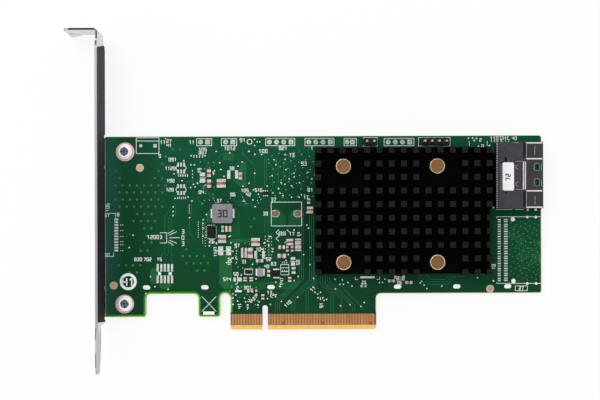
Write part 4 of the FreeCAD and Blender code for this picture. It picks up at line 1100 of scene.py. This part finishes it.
OUTLINES = (
    (136.1, 138.1, 158.9, 153.7), (196.6, 138.9, 211.7, 145.9), (221.3, 138.9, 236.6, 145.9),
    (265.7, 138.7, 294.8, 145.9), (305, 138.7, 334, 145.9), (344.1, 138.7, 356.5, 145.9),
    (384.2, 138.7, 414, 145.9), (271.2, 202.2, 301.7, 225.8), (363.2, 137.9, 377.4, 146.4),
    (418.6, 137.9, 450.2, 146.2), (244.6, 268.8, 252.6, 274), (280.6, 264.4, 288.8, 274.6),
    (515.4, 285.6, 527.5, 290.3),
)
PRINT_LINES = (
    [(136.1, 141.3), (158.9, 141.3)], [(105, 213.4), (115.4, 213.4), (115.4, 217.4)],
    [(105, 256.4), (113.4, 256.4), (113.4, 252.6)], [(177, 165.6), (175.8, 168.2), (177, 170.8)],
    [(185, 165.6), (186.2, 168.2), (185, 170.8)], [(177, 187.2), (175.8, 189.8), (177, 192.4)],
    [(185, 187.2), (186.2, 189.8), (185, 192.4)],
    [(159.7, 232.6), (166.6, 232.6), (166.6, 242.8), (159.7, 242.8)],
    [(168, 233.4), (173.6, 230.2)], [(169, 235), (176.6, 231.6)],
    [(169.4, 237.6), (179.6, 237.6)], [(169, 240), (176.6, 243.2)],
    [(168, 241.8), (173.6, 245.2)], [(496.8, 216.7), (541.4, 216.7)],
    [(496.8, 216.7), (496.8, 217.8)], [(496.8, 283.1), (541.4, 283.1)],
    [(496.8, 283.1), (496.8, 282)], [(496, 209.4), (512.6, 209.4)],
    [(515, 209.4), (526.6, 209.4)], [(355.2, 276.4), (355.2, 279.2), (358, 279.2)],
    [(379.6, 276.4), (379.6, 279.2), (376.8, 279.2)], [(216, 250.9), (225.2, 250.9)],
    [(224.8, 250.9), (232, 250.9)], [(237.4, 275), (237.4, 283.6)],
    [(290.2, 261.2), (296, 261.2)], [(281.2, 254.8), (281.2, 257.6)], [(200, 178), (205.4, 178)],
    [(279, 229.4), (276, 232.4), (279, 235.6), (276, 238.8), (279, 241.2)],
    [(280.6, 267.6), (288.8, 267.6)], [(280.6, 271.4), (288.8, 271.4)],
    [(286.8, 229.6), (289.4, 232)], [(284.4, 243), (287.4, 240.4)],
    [(469.4, 141.4), (469.4, 146)], [(487.4, 141.4), (487.4, 146)],
    [(203.6, 186.2), (206.4, 184.6)], [(201.8, 296.2), (216.1, 311)],
    [(216.1, 296.2), (201.8, 311)],
)
BARS = (
    (208.7, 312.7, 11.2, 3.3), (238.2, 290.9, 6.6, 1.9), (367.5, 277, 14.5, 1.9),
)
white = lines([outline(*corners) for corners in OUTLINES], PRINT_WIDTH, 0.0, PRINT_TOP)
white += lines([on_board(path) for path in PRINT_LINES], PRINT_WIDTH, 0.0, LINE_TOP)
white += plates(sized_on_board(BARS), PRINT_TOP)
piece("print_outlines", white, print_white)

# %% Numbers drawn by strokes
STROKES = {
    "0": [[(0, 0), (1, 0), (1, 2), (0, 2), (0, 0)]],
    "1": [[(0.1, 1.5), (0.6, 2), (0.6, 0)]],
    "2": [[(0, 2), (1, 2), (1, 1), (0, 1), (0, 0), (1, 0)]],
    "3": [[(0, 2), (1, 2), (1, 0), (0, 0)], [(0.2, 1), (1, 1)]],
    "4": [[(0, 2), (0, 1), (1, 1)], [(1, 2), (1, 0)]],
    "5": [[(1, 2), (0, 2), (0, 1), (1, 1), (1, 0), (0, 0)]],
    "6": [[(1, 2), (0, 2), (0, 0), (1, 0), (1, 1), (0, 1)]],
    "7": [[(0, 2), (1, 2), (0.4, 0)]],
    "8": [[(0, 0), (1, 0), (1, 2), (0, 2), (0, 0)], [(0, 1), (1, 1)]],
    "9": [[(1, 1), (0, 1), (0, 2), (1, 2), (1, 0), (0, 0)]],
}
CELL_PITCH, CELL_WIDTH = 1.65, 1.1


def number(text, x, y, height=3.0, turn=0.0, squeeze=1.0):
    """The strokes of a number about a pixel place: each cell's strokes moved along the line,
    scaled to the height in pixels, squeezed to the width and turned by so many degrees."""
    scale = height / abs(PIXELS_PER_MM[1]) / 2
    sine, cosine = math.sin(math.radians(turn)), math.cos(math.radians(turn))
    spin = np.array([[cosine, sine], [-sine, cosine]])
    start = -(CELL_PITCH * (len(text) - 1) + 1) / 2
    paths = []
    for place, digit in enumerate(text):
        for stroke in STROKES[digit]:
            moved = np.array(stroke, float) + [start + place * CELL_PITCH, -1.0]
            points = moved * [scale * CELL_WIDTH * squeeze, scale]
            paths.append(points @ spin + on_board((x, y)))
    return paths


NUMBERS = (
    ("1127", 215.4, 251.6, 2.8, 90), ("12", 251.2, 251.4, 2.6, 90), ("27", 254.8, 297.4, 2.8, 45),
    ("41", 239.6, 305.6, 3, 90), ("11", 162.6, 142.6, 3.2), ("27", 168.8, 141.4),
    ("41", 168.8, 145.6), ("9", 159.6, 156.2, 3.2), ("11", 191.6, 142.6, 3.2),
    ("091", 172.4, 159.8), ("1129", 170, 168.6), ("190", 170.4, 180.9), ("128", 169.6, 189.8),
    ("04", 201.2, 192.2), ("106", 107.4, 207.6, 3.2, 90), ("8", 117.9, 214.6, 3.2),
    ("61", 107, 215.4, 2.8), ("60", 107.2, 254.6, 2.8), ("12003", 154.4, 237, 3.4),
    ("3", 182.8, 231.6, 3.8), ("0", 182.8, 237.6, 3.8), ("3", 182.8, 243.6, 3.8),
    ("15", 159.2, 259.2), ("702", 147.4, 259.2), ("830", 138, 259.2), ("37", 219, 200.8),
    ("26", 211.6, 241.2, 3.2), ("97", 237, 245.4), ("102", 229.6, 261.4, 3, 90),
    ("104", 259.6, 249.2), ("52", 268.4, 259), ("63", 273.6, 263.6), ("40", 266.6, 266.2),
    ("50", 235.8, 273.8), ("514", 227, 279), ("2", 237.4, 287.6), ("301", 247.4, 287.4),
    ("50", 298, 262.2, 3, 90), ("147", 281.6, 281.2, 3, 90), ("13", 269.4, 292.4),
    ("110", 287.8, 303.6, 3, 43), ("11", 312.8, 288.6, 3.2, 43), ("30", 265.4, 213.6),
    ("37", 273.4, 199.6, 3.2), ("17", 291.8, 233.8, 3.2), ("14", 272.4, 295.8, 3, 43),
    ("1012", 229.6, 148.6, 3.2), ("106", 202.6, 149.8, 3.2), ("007", 202.6, 152.8),
    ("38", 231.6, 168.6), ("105", 244.8, 190.6), ("42", 248.4, 194.6), ("516", 258.6, 190.2),
    ("86", 232.8, 194.6), ("100", 263, 151.4, 3.4), ("91", 242.4, 140.4, 3.4),
    ("821", 283, 148.4, 3.2), ("73", 291.6, 155.4, 3.2), ("93", 303.8, 163.8, 3.4),
    ("81", 310.2, 190, 3.2), ("17", 306, 197.4), ("1", 311.8, 148.6, 3.2),
    ("23", 363.6, 284.8, 3.4), ("14", 363.8, 281.6, 2.4), ("1183", 495.8, 139.6, 5.4, 0, 0.6),
    ("215", 505.4, 139.6, 5, 0, 0.6), ("40", 514.4, 138.6), ("27", 521.4, 288),
    ("18", 493.8, 266.6, 3.2, 90), ("2", 480.6, 140.2), ("8", 482.8, 146.4),
    ("19", 199.4, 170.8, 3, 90), ("7", 247.4, 308, 2.6), ("72", 250.2, 300.6, 2.6),
    ("91", 321.4, 305, 3, 90), ("1", 320.4, 298.6, 2.4), ("06", 399.6, 282.4, 2.8),
)
number_paths = [path for row in NUMBERS for path in number(*row)]
bold_paths = number("41", 127.9, 281.7, 7.2)
piece("ring_number", lines(bold_paths, BOLD_WIDTH, 0.0, PRINT_TOP), print_white)
piece("print_numbers", lines(number_paths, NUMBER_WIDTH, 0.0, NUMBER_TOP), print_white)

# %% Print rings and dots, by their radius
RING_MARKS = [(*on_board((128.1, 281.4)), 2.05, 3.02), (*on_board((249.5, 142.0)), 0.75, 1.0)]
PRINT_DOTS = {
    0.78: ((513, 219.2), (513.6, 280.7)),
    0.6: ((159.4, 273.4), (170.1, 273.4)),
    0.5: ((527.6, 209.6), (536, 209.6)),
    0.46: ((527.5, 217), (536, 217), (527.5, 283.2), (536.4, 283.2)),
    0.34: ((478.6, 146.6),),
    0.3: ((493.6, 280.6), (493.6, 207.6), (476.6, 138.6), (474.4, 140.8), (489.6, 145.8)),
    0.28: ((468.6, 138.4), (471.4, 148.6), (482, 148.4), (472.6, 138.2), (248.8, 151.6),
        (280.2, 286.2)),
    0.26: ((197.4, 183.4), (264.1, 242.9), (268.7, 245.2), (294.1, 229.8), (300.4, 234.8),
        (288.3, 254.4), (235.8, 294.8), (232.9, 297.7), (237.5, 300.6), (232.9, 304),
        (257.7, 304.6), (267.5, 298.3), (209.3, 245.8), (232.9, 257.9), (226.6, 262.5),
        (216.2, 242.9)),
    0.24: ((254.4, 139.6), (254.6, 145.8), (257.2, 142), (254.8, 154.6), (261.6, 154.6),
        (253.4, 189.8), (269.3, 236.5), (267.5, 240.6), (272.7, 248.7), (272.7, 251.5),
        (286, 260.2), (244.5, 297.7), (247.3, 304.6), (275.6, 296.5), (252.5, 264.2),
        (235.8, 257.9)),
    0.22: ((165.6, 139.2), (258.4, 194.4), (291.6, 197.2)),
    0.2: ((259.8, 142), (281.4, 301.2)),
}
dots = [sized(on_board(places), radius) for radius, places in PRINT_DOTS.items()]
rings = [washers(RING_MARKS, 0.0, PRINT_TOP, 40)]
piece("print_rings", rings + discs(np.vstack(dots), DOT_TOP, 14), print_white)

# %% [markdown]
# ## The back of the board
# A via goes right through, so the back shows the same rows of tented vias and the same bare
# rings, and every empty header hole has its land there too. Short power pours join them. The
# same tables are used, at the height of the back face.

# %% Vias, lands and pours on the back
BACK = -float(BOARD_THICK)
BACK_POURS = (
    [(150, 262), (150, 288), (176, 288), (176, 262)],
    [(216, 246), (216, 288), (262, 288), (262, 262), (246, 246)],
    [(440, 228), (440, 276), (470, 276), (470, 240), (458, 228)],
    [(186, 160), (186, 184), (230, 184), (236, 178), (236, 160)],
    [(500, 222), (500, 262), (532, 262), (532, 232), (522, 222)],
)


def lowered(parts, depth):
    """The same closed shapes moved straight down, so that what rose from one face hangs from
    a lower one by the same amount."""
    return [(points * [1, 1, -1] + [0, 0, depth], [group[:, ::-1] for group in groups])
            for points, groups in parts]


BACK_NUMBERS = (("52", 180, 212, 5.0), ("8114", 300, 292, 4.0), ("37", 496, 272, 4.4))
mirrored = [path * [-1, 1] + [2 * on_board((row[1], 0))[0], 0]
            for row in BACK_NUMBERS for path in number(*row)]
for name, parts, material, slot in (
        ("back_vias", discs(via_table, VIA_TOP, 8), tented_green, "solder_mask"),
        ("back_rings", bare_rings, via_tin, "tinned"),
        ("back_header_lands", header_lands, header_tin, "tinned"),
        ("back_pours", areas(BACK_POURS), copper_green, "solder_mask"),
        ("back_numbers", lines(mirrored, NUMBER_WIDTH, 0.0, RING_TOP), print_white, "label_paper")):
    piece(name, lowered(parts, BACK), material)

# %% [markdown]
# ## The port's bright edges
# Folded steel catches the light along its bends, and a moulded bay has a fine raised frame. On a
# dark part these thin bright lines are most of what the eye sees, so they are painted here as thin
# ribbons of bright colour: painted highlights. They stand on the port's roof, six millimetres up,
# so their pixels are read for that height: the camera is a finite distance away, and a higher thing
# looks further from the spot right under it.

# %% Lines on the port
CAMERA_HEIGHT = 480.0
CAMERA_PIXEL = np.array([300.0, 188.0])
ROOF = top_of("port_shell")
LINE_RISE, DARK_RISE = 0.03, 0.01


def towards_camera(points, height):
    """Board places moved towards the spot under the camera by height over camera height."""
    under = on_board(CAMERA_PIXEL)
    return under + (np.asarray(points) - under) * (1 - height / CAMERA_HEIGHT)


def raised_on_board(pixels, height):
    """Pixels of something above the board, as places under the thing itself."""
    return towards_camera(on_board(pixels), height)


def roof_lines(paths, width):
    """Ribbons just above the port's roof."""
    return lines([raised_on_board(path, ROOF) for path in paths], width, ROOF, ROOF + LINE_RISE)


def roof_plates(table, rise=LINE_RISE):
    """Rows of (x, y) in pixels and (width, height) in millimetres as plates on the roof."""
    table = np.asarray(table, float)
    places = raised_on_board(table[:, :2], ROOF)
    return plates(np.hstack([places, table[:, 2:]]), ROOF + rise, ROOF)


def column(x, top, bottom, count):
    """Evenly spaced pixel places down the picture."""
    return np.stack([np.full(count, x), np.linspace(top, bottom, count)], -1)


SEAMS = (
    [(526.6, 158.9), (542.4, 158.9)], [(526.6, 190.9), (542.4, 190.9)],
    [(526.2, 143.1), (542.6, 143.1)], [(526.2, 207.2), (542.6, 207.2)],
)
BAY_LINES = (
    [(523.6, 161.2), (523.6, 189.4)], [(525.7, 161.2), (525.7, 189.4)],
)
FINE_LINES = (
    [(516, 161.4), (526, 161.4)], [(516, 189.4), (526, 189.4)], [(526.5, 143), (526.5, 158.4)],
    [(526.5, 191.4), (526.5, 207.4)],
    [(518, 165), (515.8, 166.6), (516.6, 168.8), (518.2, 169.4)],
    [(518, 182), (515.8, 183.6), (516.6, 185.8), (518.2, 186.4)], [(535, 146.4), (535, 155)],
    [(535.2, 196.2), (535.2, 204.4)], [(513.6, 142.8), (518.4, 142.8)],
)
STITCHES = sized(column(501.2, 165.0, 190.0, 14), 0.3, 0.3)
ROSE_LINES = ([(524.7, 161.2), (524.7, 189.4)],)
SEAM_WIDTH, BAY_WIDTH, FINE_WIDTH = 0.42, 0.3, 0.2
painted_edge_highlight = finish("painted_edge_highlight", "#d9d2d8", "#f3eef2", 1500, 0.3, metallic=0.5)
rose_line = finish("rose_line", "#7d5f6c", "#94727f", 1500, 0.4, metallic=0.4)
grey_marks_and_highlights = finish("grey_marks_and_highlights", "#86828b", "#a39fa8", 1500, 0.4, metallic=0.4)
piece("port_seams", roof_lines(SEAMS, SEAM_WIDTH) + roof_lines(BAY_LINES, BAY_WIDTH),
      painted_edge_highlight)
piece("port_rose_line", roof_lines(ROSE_LINES, BAY_WIDTH), rose_line)
# The fine grey lines are painted highlights along the port's edges; the small squares share their
# grey.
piece("port_fine_lines", roof_lines(FINE_LINES, FINE_WIDTH) + roof_plates(STITCHES),
      grey_marks_and_highlights)

# %% Rims of the two windows
WINDOWS = raised_on_board([(537.1, 167.05), (537.1, 182.4)], ROOF)
WINDOW_HALVES, WINDOW_POWER, RIM_WIDTH = np.array([1.95, 2.55]) / 2, 0.6, 0.18
soft_corners = circle(24, power=WINDOW_POWER)
round_window = WINDOW_HALVES * np.vstack([soft_corners, soft_corners[:1]])
rims = [middle + round_window for middle in WINDOWS]
green_rim = finish("green_rim", "#6f8a80", "#8aa49a", 1500, 0.5, specular=0.1)
piece("port_window_rims", lines(rims, RIM_WIDTH, ROOF, ROOF + LINE_RISE), green_rim)

# %% [markdown]
# Along the port's inner edge stands the row of tails that carry its signals. Their bent ends make a
# comb: one strip painted dark as shade between the tails, with an even row of bright teeth on it.
# The roof also has a few dark slots, two strips of painted shadow between the housing and the hood,
# and two round marks where the mould pushed it out.

# %% The row of tails along the port's edge
COMB_X, COMB_TOP, COMB_BOTTOM, COMB_TEETH = 497.2, 141.6, 207.4, 39
COMB_BACK = (COMB_X - 0.1, (COMB_TOP + COMB_BOTTOM) / 2, 0.6, 23.2)
teeth = sized(column(COMB_X, COMB_TOP, COMB_BOTTOM, COMB_TEETH), 0.46, 0.3)
# The comb's dark back is painted shade between the tails.
piece("port_comb_back", roof_plates([COMB_BACK], DARK_RISE), shadow_black)
piece("port_comb", roof_plates(teeth),
      finish("comb_tin", "#8c9094", "#b9bdc1", 900, 0.5, metallic=0.2))

# %% Slots, painted shadows and moulding marks
# The last two rows are painted shadow between the housing and the hood, not slots.
SLOTS_AND_SHADOWS = (
    (506, 160.2, 0.8, 1.8), (506, 192.6, 0.5, 0.7), (524.7, 150.6, 0.85, 5.2),
    (524.7, 199, 0.85, 5.6),
)
MARK_RISE = 0.012
marks = sized(raised_on_board([(510.6, 149.6), (518.2, 153.6)], ROOF), 0.55, 0.66)
piece("port_slots_and_shadows", roof_plates(SLOTS_AND_SHADOWS, DARK_RISE), shadow_black)
piece("port_ejector_marks", [washers(marks, ROOF, ROOF + MARK_RISE)],
      finish("moulding_mark", "#4b4a52", "#55545c", 900, 0.5))

# %% Ink on the sticker and on the power inductor
INK_WIDTH, WIDE_INK = 0.34, 0.42


def ink(name, node, text, x, y, height, turn, width=INK_WIDTH):
    """A number printed on top of a solid, read off the photograph at that solid's height."""
    top = top_of(node)
    paths = [towards_camera(path, top) for path in number(text, x, y, height, turn)]
    piece(name, lines(paths, width, top, top + DARK_RISE), dark_ink)


dark_ink = finish("dark_ink", "#1c1c22", "#2c2c34", 1500, 0.6, specular=0.1)
ink("label_number", "port_label", "72", 508.3, 177.3, 4.2, 90)
ink("inductor_number", "power_inductor", "30", 222.2, 213.6, 6.4, 0, WIDE_INK)

# %% [markdown]
# ## Rims of the push pins
# A turned brass head has a rolled rim that stands a little proud and catches the light. The
# rim is a profile of a few points carried round a circle: the radius goes with the cosine and
# sine of the angle, and the height stays. The flat rings above are made in the same way.

# %% Brass rims
HEAD_TOP = top_of("push_pins")
RIM_RADII = (2.32, 2.64, 2.64, 2.56, 2.46, 2.37)
RIM_HEIGHTS = [HEAD_TOP + rise for rise in (0.0, -0.2, 0.0, 0.14, 0.18, 0.12)]
heads = [((x - LEFT) / MILLIMETRE, (y - LOWER) / MILLIMETRE) for x in PIN_XS for y in PIN_YS]
# The rim's pale colour is a painted highlight, on top of the real light its rounded profile
# catches.
brass_rim = finish("brass_rim", "#dcc49a", "#f8eac8", 900, 0.28, metallic=0.6)
piece("push_pin_rims", [turned(heads, RIM_RADII, RIM_HEIGHTS, 40)], brass_rim)

# %% [markdown]
# ## Floor, light and camera
# The photograph is a product shot on white, taken from straight above with light from all
# round. A white world of even strength gives that light, and one large soft lamp gives the
# heat sink and the folds a lit side. The floor is white, and most of what the camera sees of
# it is plain white whatever the light, so the shadow stays but is faint.

# %% Floor
FLOOR_HALF, FLOOR_SHADE, PLAIN_SHARE = 3.0, 0.96, 0.85
FLOOR_CORNERS = np.array([(-1, -1, 0), (1, -1, 0), (1, 1, 0), (-1, 1, 0)]) * FLOOR_HALF
floor_mesh = bpy.data.meshes.new("floor")
floor_mesh.from_pydata(FLOOR_CORNERS.tolist(), [], [(0, 1, 2, 3)])
floor = added("floor", floor_mesh)


def shown(wire, share, lit, plain_light, output):
    """Ends a tree in a mix: this share of plain light where the camera, a mirror or glass
    looks straight at it, and the other shader everywhere else."""
    rays = [wire.node("ShaderNodeLightPath", output=ray) for ray in
            ("Is Camera Ray", "Is Glossy Ray", "Is Transmission Ray")]
    factor = wire.math("MINIMUM", rays[0] + rays[1] + rays[2], 1.0) * share
    mixed = wire.node("ShaderNodeMixShader", None, {0: factor, 1: lit, 2: plain_light})
    wire.tree.links.new(mixed.socket, wire.tree.nodes[output].inputs[0])


white_floor, floor_wire = material_of("white_floor", 0.9, specular=0.0)
floor_shader = shader_of(white_floor)
floor_shader.inputs["Base Color"].default_value = (*[FLOOR_SHADE] * 3, 1.0)
lit_floor = Wire(white_floor.node_tree, floor_shader.outputs[0])
glow = floor_wire.node("ShaderNodeEmission", None, {"Color": WHITE, "Strength": 1.0})
shown(floor_wire, PLAIN_SHARE, lit_floor, glow, "Material Output")
floor_mesh.materials.append(white_floor)

# %% World and lamp
WORLD_STRENGTH = 0.78
LAMP_SIZE, LAMP_POWER = 0.7, 3.2
LAMP_PLACE, LAMP_TILT = (-0.35, 0.45, 0.85), (-27, -21, 0)
world = bpy.data.worlds.new("studio")
bpy.context.scene.world = world
world.use_nodes = True
sky = Wire(world.node_tree)
dim, full = (sky.node("ShaderNodeBackground", None, {"Color": WHITE, "Strength": strength})
             for strength in (WORLD_STRENGTH, 1.0))
shown(sky, 1.0, dim, full, "World Output")

lamp_data = bpy.data.lights.new("soft_lamp", "AREA")
lamp_data.shape = "DISK"
lamp_data.size = LAMP_SIZE
lamp_data.energy = LAMP_POWER
lamp = added("soft_lamp", lamp_data)
lamp.location = LAMP_PLACE
lamp.rotation_euler = np.radians(LAMP_TILT).tolist()

# %% Camera straight above
PICTURE_WIDTH = 600.0
SHIFT_DOWN = 0.1
SENSOR_WIDTH, LENS = 36.0, 80.8
camera_data = bpy.data.cameras.new("camera")
camera_data.sensor_width = SENSOR_WIDTH
camera_data.lens = LENS
camera_data.shift_y = -(PICTURE_MIDDLE[1] + SHIFT_DOWN - CAMERA_PIXEL[1]) / PICTURE_WIDTH
camera = added("camera", camera_data)
camera.location = in_frame((*on_board(CAMERA_PIXEL), CAMERA_HEIGHT)).tolist()
camera.rotation_euler = (0, 0, math.radians(CAMERA_ROLL))
bpy.context.scene.camera = camera
bpy.context.scene.view_settings.view_transform = "Standard"
print("camera at", [round(value, 4) for value in camera.location])
